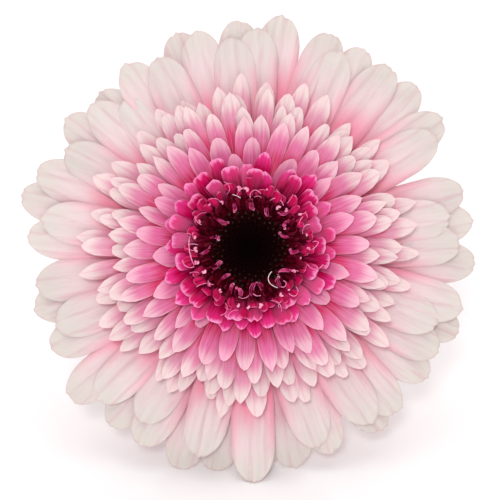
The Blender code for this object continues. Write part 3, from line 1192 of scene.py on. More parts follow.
@dataclass(frozen=True)
class TransFlorets:
    """Slim rose florets in a golden spiral, each row shorter and steeper than the one outside."""

    count: int = 160
    reach: tuple[float, float, float] = (39.5 * MM, 27.75 * MM, 23.0 * MM)
    reach_power: float = 8
    jitter_turn: float = 2.0
    jitter_reach: float = 1.3 * MM
    jitter_width: float = 0.1
    swerve: float = 0.8 * MM
    width: float = 4.6 * MM
    root_radius: float = 9.6 * MM
    root_heights: Pair = (4.4 * MM, 7.9 * MM)
    root_rise: tuple[float, float, float] = (17.0, 4.0, 6.0)
    tip_rise: tuple[float, float, float] = (0.0, 6.0, 12.0)
    form: Form = Form(root_width=1.7 * MM, taper=5.2 * MM, camber=0.45 * MM, roll=0.25 * MM,
                      groove=-0.16 * MM, grooves=1, bluntness=0.6)
    faces: tuple[int, int] = (12, 8)
    full_width: float = 1.02
    own_turn: Pair = (-2.2, 2.2)
    own_reach: Pair = (-1.2 * MM, 1.0 * MM)
    own_width: Pair = (0.84, 1.06)
    own: Ranges = (
        ("twist", (-0.35, 0.35)), ("notch", (-0.5 * MM, -0.4 * MM, 0.3 * MM)),
        ("notch_at", (-0.2, 0.2)), ("curl", (-0.3 * MM, 0.6 * MM)),
        ("wave", (0.05 * MM, 0.15 * MM)), ("phase", PHASES), ("fold", (0.5, 1.5)),
        ("chance", CHANCES),
    )

    def blades(self) -> list[Blade]:
        """Place every floret.

        Returns:
            The florets, from the outside in.
        """
        draw, own = random.Random(SEED + 1), random.Random(EXTRA_SEED + 1)
        made = []
        for n in range(self.count):
            share = n / (self.count - 1)
            bearing = n * GOLDEN_TURN + draw.uniform(-1, 1) * self.jitter_turn
            reach = blend(self.reach[:2], share) + draw.uniform(-1, 1) * self.jitter_reach
            reach -= (self.reach[1] - self.reach[2]) * share ** self.reach_power
            root = (self.root_radius, blend(self.root_heights, share))
            rises = tuple(first + step * share + curve * share ** 2
                          for first, step, curve in (self.root_rise, self.tip_rise))
            width = self.width * (self.full_width + draw.uniform(-1, 1) * self.jitter_width)
            swerve = draw.uniform(-1, 1) * self.swerve
            reach += own.uniform(*self.own_reach)
            width *= own.uniform(*self.own_width)
            bearing += own.uniform(*self.own_turn)
            made.append(Blade(Arc(root, reach, rises), bearing, width, share, swerve=swerve,
                              **drawn(own, self.own)))
        return made

    def build(self, look: Material) -> None:
        """Lay the florets, as an outer, a middle and an inner piece.

        Args:
            look: Their material.
        """
        sheet = Sheet(*self.faces)
        laid = [sheet.lay(f"trans_{n}", blade, self.form) for n, blade in enumerate(self.blades())]
        third = math.ceil(len(laid) / 3)
        for n, name in enumerate(("outer", "middle", "inner")):
            piece = joined(f"trans_florets_{name}", laid[n * third:(n + 1) * third])
            finished(piece, Part.TRANS, look)
        sheet.remove()


@dataclass(frozen=True)
class InnerKind:
    """A kind of inner floret: its form, shares of the full width, tones and raised sides."""

    form: Form
    widths: Pair
    tones: Pair
    hood: float


@dataclass(frozen=True)
class InnerFlorets:
    """Short deep pink florets round the eye: pointed outside, blunt and hooded inside."""

    count: int = 46
    first: int = 160
    reach: Pair = (22.0 * MM, 17.4 * MM)
    jitter_turn: float = 2.0
    jitter_reach: float = 0.5 * MM
    width: float = 3.9 * MM
    root_radius: float = 10.4 * MM
    root_heights: Pair = (10.7 * MM, 11.3 * MM)
    root_rise: Pair = (20.0, 30.0)
    tip_rise: Pair = (29.0, 41.0)
    pointed: InnerKind = InnerKind(
        Form(root_width=1.7 * MM, taper=4.2 * MM, camber=0.4 * MM, groove=-0.12 * MM, grooves=1,
             bluntness=0.62),
        widths=(0.94, 1.16), tones=(0.0, 0.45), hood=0.2 * MM)
    hooded: InnerKind = InnerKind(
        Form(root_width=2.2 * MM, taper=1.2 * MM, camber=0.5 * MM, bluntness=0.33,
             thickness=0.5 * MM, rim=0.22 * MM, groove=0.12 * MM),
        widths=(0.86, 1.08), tones=(0.35, 1.0), hood=0.8 * MM)
    hooded_share: float = 1.3
    faces: tuple[int, int] = (14, 8)
    own_turn: Pair = (-2.0, 2.0)
    own_reach: Pair = (-1.4 * MM, 0.9 * MM)
    own: Ranges = (
        ("twist", (-0.4, 0.4)), ("swerve", (-0.5 * MM, 0.5 * MM)), ("curl", (0.0, 0.7 * MM)),
        ("notch", (0.0, 0.3 * MM, 0.6 * MM)), ("notch_at", (-0.5, 0.5)), ("phase", PHASES),
        ("chance", CHANCES),
    )
    wave: float = 0.2 * MM

    def build(self, look: Material) -> None:
        """Lay the florets as one piece.

        Args:
            look: Their material.
        """
        draw, own = random.Random(SEED + 2), random.Random(EXTRA_SEED + 2)
        sheet = Sheet(*self.faces)
        laid = []
        for n in range(self.count):
            share = n / (self.count - 1)
            bearing = (self.first + n) * GOLDEN_TURN + draw.uniform(-1, 1) * self.jitter_turn
            reach = blend(self.reach, share) + draw.uniform(-1, 1) * self.jitter_reach
            root = (self.root_radius, blend(self.root_heights, share))
            rises = (blend(self.root_rise, share), blend(self.tip_rise, share))
            kind = self.hooded if own.random() < share * self.hooded_share else self.pointed
            width = self.width * own.uniform(*kind.widths)
            reach += own.uniform(*self.own_reach)
            tone = own.uniform(*kind.tones)
            bearing += own.uniform(*self.own_turn)
            blade = Blade(Arc(root, reach, rises), bearing, width, tone, hood=kind.hood,
                          wave=self.wave, **drawn(own, self.own))
            laid.append(sheet.lay(f"inner_{n}", blade, kind.form))
        finished(joined("inner_florets_hooded", laid), Part.INNER, look)
        sheet.remove()


@dataclass(frozen=True)
class EyeFinish:
    """Velvet of the closed buds: nearly black, with paler tips towards the open ring."""

    name: str = "eye_velvet"
    core: Colour = (3, 0, 0)
    dark: Colour = (27, 3, 5)
    tip: Colour = (84, 62, 54)
    grain: float = 2400.0
    grain_edge: Pair = (0.3, 0.7)

    def material(self) -> Material:
        """Build the material.

        Returns:
            The material.
        """
        nodes = Shading(self.name)
        grain = nodes.noise(nodes.place(), self.grain, FINE_LAYERS)
        tip = nodes.times(nodes.attribute("tip"), nodes.span(grain, *self.grain_edge))
        colour = nodes.mix(nodes.attribute("row"), self.core, self.dark)
        return VELVET_SURFACE.dress(nodes, nodes.mix(tip, colour, self.tip), grain)


@dataclass(frozen=True)
class LipFinish:
    """Lips of the open disc florets: striped dull magenta with a paler end and edge."""

    name: str
    dark: Colour
    stripe: Colour
    end: Colour
    end_reach: float = 0.5
    edge_share: float = 0.15
    stripes: float = 3.2
    stripe_stretch: float = 0.8
    stripe_edge: Pair = (0.38, 0.62)

    def material(self) -> Material:
        """Build the material.

        Returns:
            The material.
        """
        nodes = Shading(self.name)
        lines = nodes.lengthwise(self.stripes, self.stripe_stretch)
        colour = nodes.mix(nodes.span(lines, *self.stripe_edge), self.dark, self.stripe)
        colour = nodes.mix(nodes.span(nodes.tip(), self.end_reach, 0.0), colour, self.end)
        edge = nodes.times(nodes.attribute("edge"), self.edge_share)
        return LIP_SURFACE.dress(nodes, nodes.mix(edge, colour, self.end), lines)


@dataclass(frozen=True)
class PlainFinish:
    """A small glossy piece in two close tones."""

    name: str
    first: Colour
    second: Colour
    surface: Surface = GLOSSY_SURFACE
    tones: float = 900.0
    tone_edge: Pair = (0.35, 0.65)

    def material(self) -> Material:
        """Build the material.

        Returns:
            The material.
        """
        nodes = Shading(self.name)
        tone = nodes.noise(nodes.place(), self.tones)
        colour = nodes.mix(nodes.span(tone, *self.tone_edge), self.first, self.second)
        return self.surface.dress(nodes, colour, tone)


@dataclass(frozen=True)
class Strand:
    """A thin style: points across, up and out of the face in mm, and its thickness."""

    points: tuple[tuple[float, float, float], ...]
    radius: float = 0.16 * MM


@dataclass
class Eye:
    """The disc florets: closed buds in the middle, open ones with lips and styles at the rim.

    Rings of buds and lips have their count and the least and most of their radius in mm, and lips
    also of their width. Tongues have their bearing in degrees and the radius of their end. Other
    pairs are what a draw lies between: mm, shares, or radians for what leans and turns.
    """

    buds: int = 150
    bud_reach: float = 8.6 * MM
    bud_sizes: Pair = (0.42 * MM, 0.62 * MM)
    bud_heights: Pair = (1.0 * MM, 1.7 * MM)
    bud_stands: Pair = (13.0 * MM, 13.5 * MM)
    bud_neck: float = 0.45
    bud_taper: Pair = (0.2, 0.8)
    bud_crown: Pair = (0.6, 0.3)
    bud_lean: float = 0.35
    bud_glints: Pair = (0.1, 1.0)
    glint_ring: Pair = (0.55, 0.35)
    bud_paling: float = 0.12
    paling_ring: Pair = (0.6, 0.4)
    dish: tuple[Pair, ...] = (
        (0.0, 12.5), (3.0, 12.6), (6.0, 12.9), (9.0, 13.4), (11.0, 13.5), (12.0, 13.0),
        (12.1, 12.2), (0.0, 12.2),
    )
    dish_steps: int = 48
    dish_red: Pair = (7 * MM, 4 * MM)
    disorder: float = 0.35
    opening: tuple[tuple[int, float, float], ...] = (
        (30, 7.6, 9.0), (36, 9.0, 10.4), (36, 10.4, 12.0),
    )
    opening_stands: Pair = (13.6, 14.4)
    opening_leans: Pair = (-0.7, 0.5)
    opening_tilts: Pair = (-0.5, 0.5)
    opening_sizes: Pair = (0.3, 0.52)
    opening_heights: Pair = (1.2, 2.0)
    opening_red: float = 0.2
    opening_reds: Pair = (-0.1, 0.5)
    opening_upper: Pair = (-0.2, 1.2)
    tongues: tuple[Pair, ...] = (
        (314, 7.8), (292, 7.6), (266, 9.4), (246, 7.5), (220, 8.0), (207, 9.4), (191, 9.8),
        (176, 8.3), (162, 8.5), (141, 9.6), (124, 8.8), (98, 9.5), (70, 7.9), (55, 9.4), (27, 8.5),
        (2, 9.2), (339, 9.3), (44, 10.6),
    )
    tongue_inset: float = 0.4
    tongue_lengths: Pair = (2.2, 3.4)
    tongue_sway: float = 1.6
    tongue_hooks: Pair = (0.3, 1.1)
    tongue_tops: Pair = (15.2, 16.2)
    tongue_widths: Pair = (0.34, 0.5)
    tongue_splits: tuple[tuple[float, ...], ...] = (
        (-1, -0.3, 0.4, 1), (-1, 0, 1), (-0.8, 0.1, 0.9),
    )
    tongue_steps: int = 6
    tongue_haste: float = 1.25
    tongue_back: float = 0.75
    tongue_curve: float = 1.3
    tongue_spread: Pair = (0.1, 0.8)
    tongue_climb: float = 1.9
    tongue_droop: float = 1.1
    hook_from: float = 0.45
    tongue_radii: Pair = (0.1, 0.14)
    lips: tuple[tuple[int, float, float, float, float], ...] = (
        (22, 11.2, 12.4, 1.6, 2.9), (24, 12.2, 13.6, 1.8, 3.2),
    )
    dark_lips: tuple[tuple[int, float, float, float, float], ...] = (
        (24, 8.5, 9.5, 0.6, 1.2), (28, 9.5, 10.7, 0.8, 1.7), (28, 10.5, 11.6, 1.1, 2.2),
    )
    lip_form: Form = Form(root_width=1.2 * MM, taper=1.3 * MM, thickness=0.34 * MM,
                          rim=0.2 * MM, camber=0.3 * MM, bluntness=0.5, crowd=1.1)
    lip_faces: tuple[int, int] = (8, 4)
    lip_stands: Pair = (13.2, 14.0)
    lip_lengths: Pair = (1.4, 3.0)
    lip_rises: tuple[Pair, Pair] = ((56, 84), (-55, 30))
    lip_notch: float = 0.3 * MM
    lip_own: Ranges = (
        ("twist", (-0.9, 0.9)), ("hood", (-0.2 * MM, 0.4 * MM)), ("notch_at", (-0.4, 0.4)),
        ("swerve", (-0.8 * MM, 0.8 * MM)), ("chance", CHANCES),
    )
    knobs: int = 24
    knob_radii: Pair = (11.0 * MM, 14.4 * MM)
    knob_stands: Pair = (15.7, 16.6)
    knob_turn: float = 1.5
    knob_sizes: Pair = (0.22, 0.36)
    knob_lobes: tuple[tuple[int, ...], ...] = ((-1, 1), (-1, 1), (0,))
    lobe_gap: float = 0.8
    lobe_turn: float = 0.5
    lobe_lengths: Pair = (1.1, 1.9)
    tube_tilt: float = 0.7
    tube_sizes: Pair = (0.2, 0.27)
    styles: int = 34
    style_ring: Pair = (10.8, 14.6)
    style_kinds: tuple[tuple[int, float], ...] = (
        (8, 0.5), (4, 0.6), (6, 0.15), (5, 0.35), (8, 0.3),
    )
    style_steps: Pair = (0.38, 0.62)
    style_turn: float = 1.5
    style_stands: Pair = (14.6, 15.4)
    style_bends: Pair = (0.6, 1.4)
    style_climb: float = 0.55
    style_rise: float = 1.4
    style_fall: float = 0.62
    style_radii: Pair = (0.06, 0.1)
    hooks: tuple[Strand, ...] = (
        Strand(((5.0, -5.4, 16.9), (4.2, -6.3, 17.4), (4.1, -7.5, 17.3), (4.9, -8.6, 17.0),
                (6.4, -9.1, 16.6)), 0.1 * MM),
        Strand(((-3.9, 12.2, 16.6), (-2.9, 12.0, 17.1), (-2.1, 11.4, 17.0)), 0.08 * MM),
    )
    long_style: Strand = Strand(((-13.7, 2.6, 17.2), (-14.1, 0.8, 17.7), (-13.8, -1.8, 17.6),
                                 (-12.7, -3.9, 17.0)), 0.12 * MM)
    draw: random.Random = field(default_factory=lambda: random.Random(EXTRA_SEED + 3))

    def ring(self, count: int, low: float, high: float) -> list[Pair]:
        """Spread pieces round the eye with some disorder.

        Args:
            count: How many.
            low: The least radius.
            high: The most radius.

        Returns:
            Their bearings in degrees and their radii.
        """
        step = 360 / count
        return [(n * step + self.draw.uniform(-self.disorder, self.disorder) * step,
                 self.draw.uniform(low, high)) for n in range(count)]

    def either(self, size: float) -> float:
        """A draw between a size and the same below zero."""
        return self.draw.uniform(-size, size)

    def build_dish(self, look: Material) -> None:
        """Spin the receptacle that the florets stand on.

        Args:
            look: Its material.
        """
        obj = spun("eye_dish", self.dish, self.dish_steps)
        points = points_of(obj)
        out = np.hypot(points[:, 0], points[:, 1])
        give(obj, row=smooth(out / self.bud_reach), tip=eased(out, *self.dish_red))
        obj.data.transform(HEAD.matrix)
        finished(obj, Part.EYE, look)

    def build_buds(self, look: Material) -> None:
        """Set the closed buds in a golden spiral, larger towards the rim.

        Args:
            look: Their material.
        """
        deselect()
        bpy.ops.mesh.primitive_uv_sphere_add(segments=6, ring_count=6, radius=1.0)
        mould = Mould(bpy.context.object)
        unit = mould.points.copy()
        unit[:, :2] *= (1 - self.bud_neck * eased(unit[:, 2], *self.bud_taper))[:, None]
        crown = eased(unit[:, 2], *self.bud_crown)
        casts = []
        for n in range(self.buds):
            share = math.sqrt((n + 0.5) / self.buds)
            angle = math.radians(n * GOLDEN_TURN)
            wide, tall = blend(self.bud_sizes, share), blend(self.bud_heights, share)
            place = Vector((*around(angle, self.bud_reach * share),
                            blend(self.bud_stands, share ** 2)))
            tilt = (Matrix.Rotation(-angle, 4, "Z")
                    @ Matrix.Rotation(-self.bud_lean * share ** 2, 4, "X"))
            points = moved(unit, Matrix.Translation(place) @ tilt
                           @ Matrix.Diagonal((wide, wide, tall, 1.0)))
            glint = crown * eased(share, *self.glint_ring) * self.draw.uniform(*self.bud_glints)
            pale = self.bud_paling * eased(share, *self.paling_ring)
            casts.append(mould.cast(f"bud_{n}", HEAD.placed(points), row=share,
                                    tip=glint + pale))
        finished(joined("eye_buds", casts), Part.EYE, look)
        mould.remove()

    def build_opening(self, look: Material) -> None:
        """Lean the opening buds this way and that round the closed ones.

        Args:
            look: Their material.
        """
        deselect()
        bpy.ops.mesh.primitive_uv_sphere_add(segments=6, ring_count=7, radius=1.0)
        mould = Mould(bpy.context.object)
        upper = eased(mould.points[:, 2], *self.opening_upper)
        casts = []
        for ring, (count, low, high) in enumerate(self.opening):
            for n, (bearing, radius) in enumerate(self.ring(count, low * MM, high * MM)):
                angle = math.radians(bearing)
                place = Vector((*around(angle, radius),
                                self.draw.uniform(*self.opening_stands) * MM))
                tilt = (Matrix.Rotation(-angle, 4, "Z")
                        @ Matrix.Rotation(self.draw.uniform(*self.opening_leans), 4, "X")
                        @ Matrix.Rotation(self.draw.uniform(*self.opening_tilts), 4, "Y"))
                wide = self.draw.uniform(*self.opening_sizes) * MM
                tall = self.draw.uniform(*self.opening_heights) * MM
                points = moved(mould.points, Matrix.Translation(place) @ tilt
                               @ Matrix.Diagonal((wide, wide, tall, 1.0)))
                red = self.opening_red + upper * self.draw.uniform(*self.opening_reds)
                casts.append(mould.cast(f"opening_{ring}_{n}", HEAD.placed(points), tip=red,
                                        row=1.0))
        finished(joined("eye_opening", casts), Part.EYE, look)
        mould.remove()

    def tongue_strands(self) -> list[list[Strand]]:
        """Curl the tongues in over the buds, as strands that part and meet again at the end.

        Returns:
            The strands of each tongue.
        """
        made = []
        for bearing, end in self.tongues:
            angle = math.radians(bearing)
            end -= self.tongue_inset
            long = self.draw.uniform(*self.tongue_lengths)
            sway = self.either(self.tongue_sway)
            hook = self.draw.choice((-1, 1)) * self.draw.uniform(*self.tongue_hooks)
            top = self.draw.uniform(*self.tongue_tops)
            wide = self.draw.uniform(*self.tongue_widths)
            tongue = []
            for side in self.draw.choice(self.tongue_splits):
                points = []
                for step in range(self.tongue_steps + 1):
                    # It runs inwards, turns back at its end, and rises and droops on the way.
                    share = step / self.tongue_steps
                    inward = min(share * self.tongue_haste, 1.0)
                    inward -= 0.5 * max(share - self.tongue_back, 0.0)
                    x, y = around(angle, end + long * (1 - inward) ** self.tongue_curve)
                    aside = sway * (1 - share) ** 2 + hook * max(share - self.hook_from, 0.0) * 2
                    start, span = self.tongue_spread
                    aside += side * wide * math.sin(math.pi * (start + span * share))
                    height = top - self.tongue_climb * (1 - share) ** 2
                    height -= self.tongue_droop * share ** 4
                    points.append((x + math.cos(angle) * aside, y - math.sin(angle) * aside,
                                   height))
                tongue.append(Strand(tuple(points), self.draw.uniform(*self.tongue_radii) * MM))
            made.append(tongue)
        return made

    def build_lips(self, name: str, rows: Sequence[tuple[int, float, float, float, float]],
                   look: Material) -> None:
        """Curl the outer lips outwards, over the roots of the inner florets.

        Args:
            name: The piece's name.
            rows: Count, least and most root radius, least and most width of each row, in mm.
            look: Their material.
        """
        sheet = Sheet(*self.lip_faces)
        laid = []
        for row, (count, low, high, *widths) in enumerate(rows):
            for n, (bearing, radius) in enumerate(self.ring(count, low * MM, high * MM)):
                root = (radius, self.draw.uniform(*self.lip_stands) * MM)
                reach = radius + self.draw.uniform(*self.lip_lengths) * MM
                first, last = self.lip_rises
                arc = Arc(root, reach, (self.draw.uniform(*first), self.draw.uniform(*last)))
                blade = Blade(arc, bearing, self.draw.uniform(*widths) * MM,
                              notch=self.lip_notch, **drawn(self.draw, self.lip_own))
                laid.append(sheet.lay(f"lip_{row}_{n}", blade, self.lip_form))
        finished(joined(name, laid), Part.EYE, look)
        sheet.remove()

    def build_knobs(self, ends: Sequence[Strand], look: Material) -> None:
        """Set the pale stigma lobes among the lips and the open anther tubes on the tongues.

        Args:
            ends: One strand of each tongue, whose last point carries its tube.
            look: Their material.
        """
        deselect()
        bpy.ops.mesh.primitive_uv_sphere_add(segments=8, ring_count=6, radius=1.0)
        lobe = Mould(bpy.context.object)
        deselect()
        bpy.ops.mesh.primitive_torus_add(major_segments=10, minor_segments=6, major_radius=1.0,
                                         minor_radius=0.5)
        tube = Mould(bpy.context.object)
        casts = []
        for n, (bearing, radius) in enumerate(self.ring(self.knobs, *self.knob_radii)):
            height = self.draw.uniform(*self.knob_stands) * MM
            place = (Matrix.Rotation(-math.radians(bearing), 4, "Z")
                     @ Matrix.Translation((0.0, radius, height))
                     @ Matrix.Rotation(self.either(self.knob_turn), 4, "Z"))
            size = self.draw.uniform(*self.knob_sizes) * MM
            for side in self.draw.choice(self.knob_lobes):
                turn = side * self.lobe_turn + self.either(self.lobe_turn)
                long = size * self.draw.uniform(*self.lobe_lengths)
                shape = (Matrix.Translation((side * size * self.lobe_gap, 0.0, 0.0))
                         @ Matrix.Rotation(turn, 4, "Z") @ Matrix.Diagonal((size, long, size, 1.0)))
                points = moved(lobe.points, place @ shape)
                casts.append(lobe.cast(f"lobe_{n}_{side}", HEAD.placed(points)))
        for n, strand in enumerate(ends):
            tilt = (Matrix.Rotation(self.either(self.tube_tilt), 3, "X")
                    @ Matrix.Rotation(self.either(self.tube_tilt), 3, "Y"))
            points = tube.points @ np.array(tilt).T * self.draw.uniform(*self.tube_sizes) * MM
            points = points + np.array(strand.points[-1]) * MM
            casts.append(tube.cast(f"tube_end_{n}", HEAD.placed(points)))
        finished(joined("eye_knobs", casts), Part.EYE, look)
        lobe.remove()
        tube.remove()

    def loose_styles(self) -> list[Strand]:
        """Lay thin styles outwards over the inner florets: arcs, hooks and loops.

        Returns:
            The styles.
        """
        made = []
        for bearing, radius in self.ring(self.styles, *self.style_ring):
            angle = math.radians(bearing)
            steps, bend = self.draw.choice(self.style_kinds)
            bend *= self.draw.choice((-1, 1))
            step_length = self.draw.uniform(*self.style_steps)
            heading = angle + self.either(self.style_turn)
            x, y = around(angle, radius)
            height, climb = self.draw.uniform(*self.style_stands), self.style_climb
            points = []
            for _ in range(steps):
                points.append((x, y, height))
                x += math.sin(heading) * step_length
                y += math.cos(heading) * step_length
                heading += bend * self.draw.uniform(*self.style_bends)
                height += climb * step_length * self.style_rise
                climb *= self.style_fall
            made.append(Strand(tuple(points), self.draw.uniform(*self.style_radii) * MM))
        return made

    def build_styles(self, name: str, strands: Sequence[Strand], look: Material) -> None:
        """Draw strands as bevelled curves and turn them into a mesh.

        Args:
            name: The piece's name.
            strands: The strands.
            look: Their material.
        """
        curve = bpy.data.curves.new(name, "CURVE")
        curve.dimensions = "3D"
        curve.bevel_depth = 1.0
        curve.bevel_resolution = 1
        curve.resolution_u = 3
        curve.use_fill_caps = True
        for strand in strands:
            spline = curve.splines.new("NURBS")
            spline.points.add(len(strand.points) - 1)
            spline.use_endpoint_u = True
            spline.order_u = 4 if len(strand.points) > 3 else 3
            places = HEAD.placed(np.array(strand.points) * MM)
            for point, place in zip(spline.points, places):
                point.co = (*place, 1.0)
                point.radius = strand.radius
        make_active(added(name, curve))
        bpy.ops.object.convert(target="MESH")
        seal()
        finished(bpy.context.view_layer.objects.active, Part.EYE, look)

    def build(self) -> None:
        """Build the eye from the middle to the rim."""
        velvet = EyeFinish().material()
        ground = EyeFinish("eye_ground", tip=(100, 0, 24)).material()
        bud = EyeFinish("bud_maroon", dark=(32, 0, 6), tip=(124, 6, 38)).material()
        lip = LipFinish("lip_magenta", (134, 0, 46), (200, 8, 88), (236, 118, 170))
        dark_lip = LipFinish("lip_dark", (52, 0, 10), (104, 2, 32), (150, 30, 70))
        knob = PlainFinish("anther_end", (240, 172, 196), (222, 112, 156)).material()
        pink = PlainFinish("style_pink", (242, 156, 192), (228, 110, 162)).material()
        dull = PlainFinish("tongue_magenta", (200, 78, 132), (150, 18, 74)).material()
        white = PlainFinish("style_white", (232, 214, 212), (218, 188, 194)).material()
        self.build_dish(ground)
        self.build_buds(velvet)
        self.build_opening(bud)
        self.build_lips("eye_lips", self.lips, lip.material())
        self.build_lips("eye_dark_lips", self.dark_lips, dark_lip.material())
        tongues = self.tongue_strands()
        self.build_styles("eye_tongues", sum(tongues, []), dull)
        self.build_knobs([tongue[len(tongue) // 2] for tongue in tongues], knob)
        self.build_styles("eye_styles", [*self.loose_styles(), self.long_style], pink)
        self.build_styles("eye_hooks", self.hooks, white)


@dataclass(frozen=True)
class RibbedFinish:
    """Matte skin: ribbed along, finely mottled and, where it has a share, tinted near its end."""

    name: str
    body: Colour
    pale: Colour
    end: Colour = (0, 0, 0)
    end_reach: float = 0.0
    end_share: float = 0.0
    ribs: float = 5.0
    rib_stretch: float = 0.5
    rib_edge: Pair = (0.36, 0.66)
    mottle: float = 420.0
    mottle_layers: float = 4.0
    mottle_edge: Pair = (0.5, 0.75)
    mottle_share: float = 0.35
    pits: float = 0.5

    def material(self) -> Material:
        """Build the material.

        Returns:
            The material.
        """
        nodes = Shading(self.name)
        lines = nodes.lengthwise(self.ribs, self.rib_stretch, FINE_LAYERS)
        spots = nodes.noise(nodes.place(), self.mottle, self.mottle_layers, FINE_STRENGTH)
        colour = nodes.mix(nodes.span(lines, *self.rib_edge), self.body, self.pale)
        spotted = nodes.span(spots, *self.mottle_edge, 0.0, self.mottle_share)
        colour = nodes.mix(spotted, colour, self.pale)
        if self.end_share:
            near = nodes.span(nodes.tip(), self.end_reach, 0.0, 0.0, self.end_share)
            colour = nodes.mix(near, colour, self.end)
        height = nodes.plus(lines, nodes.times(spots, self.pits))
        return GREEN_SURFACE.dress(nodes, colour, height)


@dataclass(frozen=True)
class CutFinish:
    """The fresh cut: pale pith, a ring of darker bundles and a green rind."""

    name: str = "stem_cut"
    pith: Colour = (226, 232, 196)
    ring: Colour = (176, 196, 122)
    rind: Colour = (112, 146, 62)
    ring_edge: Pair = (0.45, 0.7)
    rind_edge: Pair = (0.84, 0.97)
    dots: float = 1500.0
    dot_edge: Pair = (0.52, 0.7)
    dot_share: float = 0.5

    def material(self) -> Material:
        """Build the material.

        Returns:
            The material.
        """
        nodes = Shading(self.name)
        across = nodes.attribute("chance")
        dots = nodes.noise(nodes.place(), self.dots, FINE_LAYERS, FINE_STRENGTH)
        colour = nodes.mix(nodes.span(across, *self.ring_edge), self.pith, self.ring)
        colour = nodes.mix(nodes.span(across, *self.rind_edge), colour, self.rind)
        dotted = nodes.span(dots, *self.dot_edge, 0.0, self.dot_share)
        return CUT_SURFACE.dress(nodes, nodes.mix(dotted, colour, self.rind), dots)


@dataclass(frozen=True)
class FloretRoots:
    """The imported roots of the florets, which fill the head behind its petals.

    A core has its part, radius, lowest and highest point in mm, and how many tiers of roots. A
    tier's profile is given as shares of its height and of the bulge that it is drawn in by.
    """

    cores: tuple[tuple[Part, float, float, float, int], ...] = (
        (Part.RAYS, 13.4, -0.3, 3.4, 2),
        (Part.TRANS, 12.0, 3.4, 9.4, 3),
        (Part.INNER, 11.8, 9.4, 12.2, 1),
    )
    tier_profile: tuple[Pair, ...] = (
        (0.02, 1.0), (0.25, 0.25), (0.6, 0.0), (0.98, 0.8),
    )
    bulge: float = 0.5
    ribs: int = 36
    rib_depth: float = 0.035
    steps: int = 144
    own_chance: float = 0.5

    def build(self, looks: dict[Part, Material]) -> None:
        """Spin each core, with a bulge for each tier and a rib for each root.

        Args:
            looks: The material of each part's core.
        """
        for part, radius, low, high, tiers in self.cores:
            profile = [(0.0, low)]
            for tier in range(tiers):
                ends = [blend((low, high), (tier + step) / tiers) for step in (0, 1)]
                for share, inset in self.tier_profile:
                    profile.append((radius - self.bulge * inset, blend(ends, share)))
            profile.append((0.0, high))
            obj = spun(f"{part.value[0]}_roots", profile, self.steps)
            points = points_of(obj)
            turn = np.arctan2(points[:, 0], points[:, 1])
            tier = np.floor((points[:, 2] / MM - low) / (high - low) * tiers)
            groove = 0.5 - 0.5 * np.cos(self.ribs * turn + math.pi * tier)
            points[:, :2] *= (1 - self.rib_depth * groove)[:, None]
            set_points(obj, points)
            give(obj, chance=self.own_chance)
            set_flow(obj, turn * self.ribs / math.tau, points[:, 2])
            obj.data.transform(HEAD.matrix)
            finished(obj, part, looks[part])


@dataclass(frozen=True)
class Involucre:
    """The green cup under the head, with its bracts.

    A row of bracts has its count, root radius, root height, reach and rises, in mm and degrees.
    """

    profile: tuple[Pair, ...] = (
        (0.0, -0.35), (12.4, -0.35), (13.35, -0.9), (13.3, -5.2), (12.2, -9.2), (9.9, -12.6),
        (6.6, -15.0), (4.4, -15.95), (3.3, -16.3), (0.0, -16.3),
    )
    steps: int = 32
    ribs: int = 18
    own_chance: float = 0.3
    rows: tuple[tuple[int, float, float, float, float, float], ...] = (
        (11, 5.4, -14.8, 11.6, 38, 50),
        (13, 8.4, -13.2, 14.8, 50, 50),
        (13, 10.8, -10.2, 17.4, 52, 40),
        (14, 12.3, -6.2, 20.4, 44, 14),
    )
    jitter_turn: float = 3.0
    jitter_reach: float = 0.5 * MM
    width: float = 3.6 * MM
    form: Form = Form(root_width=2.9 * MM, taper=7.0 * MM, thickness=0.62 * MM, rim=0.2 * MM,
                      camber=0.5 * MM, groove=-0.06 * MM, grooves=1)
    faces: tuple[int, int] = (14, 6)
    wave: float = 0.15 * MM
    own: Ranges = (
        ("swerve", (-0.4 * MM, 0.4 * MM)), ("curl", (0.0, -0.9 * MM)), ("phase", PHASES),
        ("chance", CHANCES),
    )

    def build_cup(self, skin: Material) -> None:
        """Spin the cup that the bracts grow on.

        Args:
            skin: Its material.
        """
        cup = spun("involucre_cup", self.profile, self.steps)
        apply_modifier(cup, "SUBSURF", levels=2, render_levels=2)
        points = points_of(cup)
        give(cup, chance=self.own_chance)
        set_flow(cup, np.arctan2(points[:, 0], points[:, 1]) * self.ribs / math.tau, points[:, 2])
        cup.data.transform(HEAD.matrix)
        finished(cup, Part.CUP, skin)

    def build_bracts(self, leaf: Material) -> Object:
        """Lay the bracts, row by row from the stem.

        Args:
            leaf: Their material.

        Returns:
            The bracts as one piece.
        """
        draw, own = random.Random(SEED + 3), random.Random(EXTRA_SEED + 4)
        sheet = Sheet(*self.faces)
        laid = []
        for row, (count, radius, height, reach, *rises) in enumerate(self.rows):
            for n in range(count):
                bearing = (n + row / 2) * 360 / count + draw.uniform(-1, 1) * self.jitter_turn
                arc = Arc((radius * MM, height * MM),
                          reach * MM + draw.uniform(-1, 0) * self.jitter_reach, tuple(rises))
                blade = Blade(arc, bearing, self.width, wave=self.wave, **drawn(own, self.own))
                laid.append(sheet.lay(f"bract_{row}_{n}", blade, self.form))
        sheet.remove()
        return finished(joined("involucre_bracts", laid), Part.CUP, leaf)


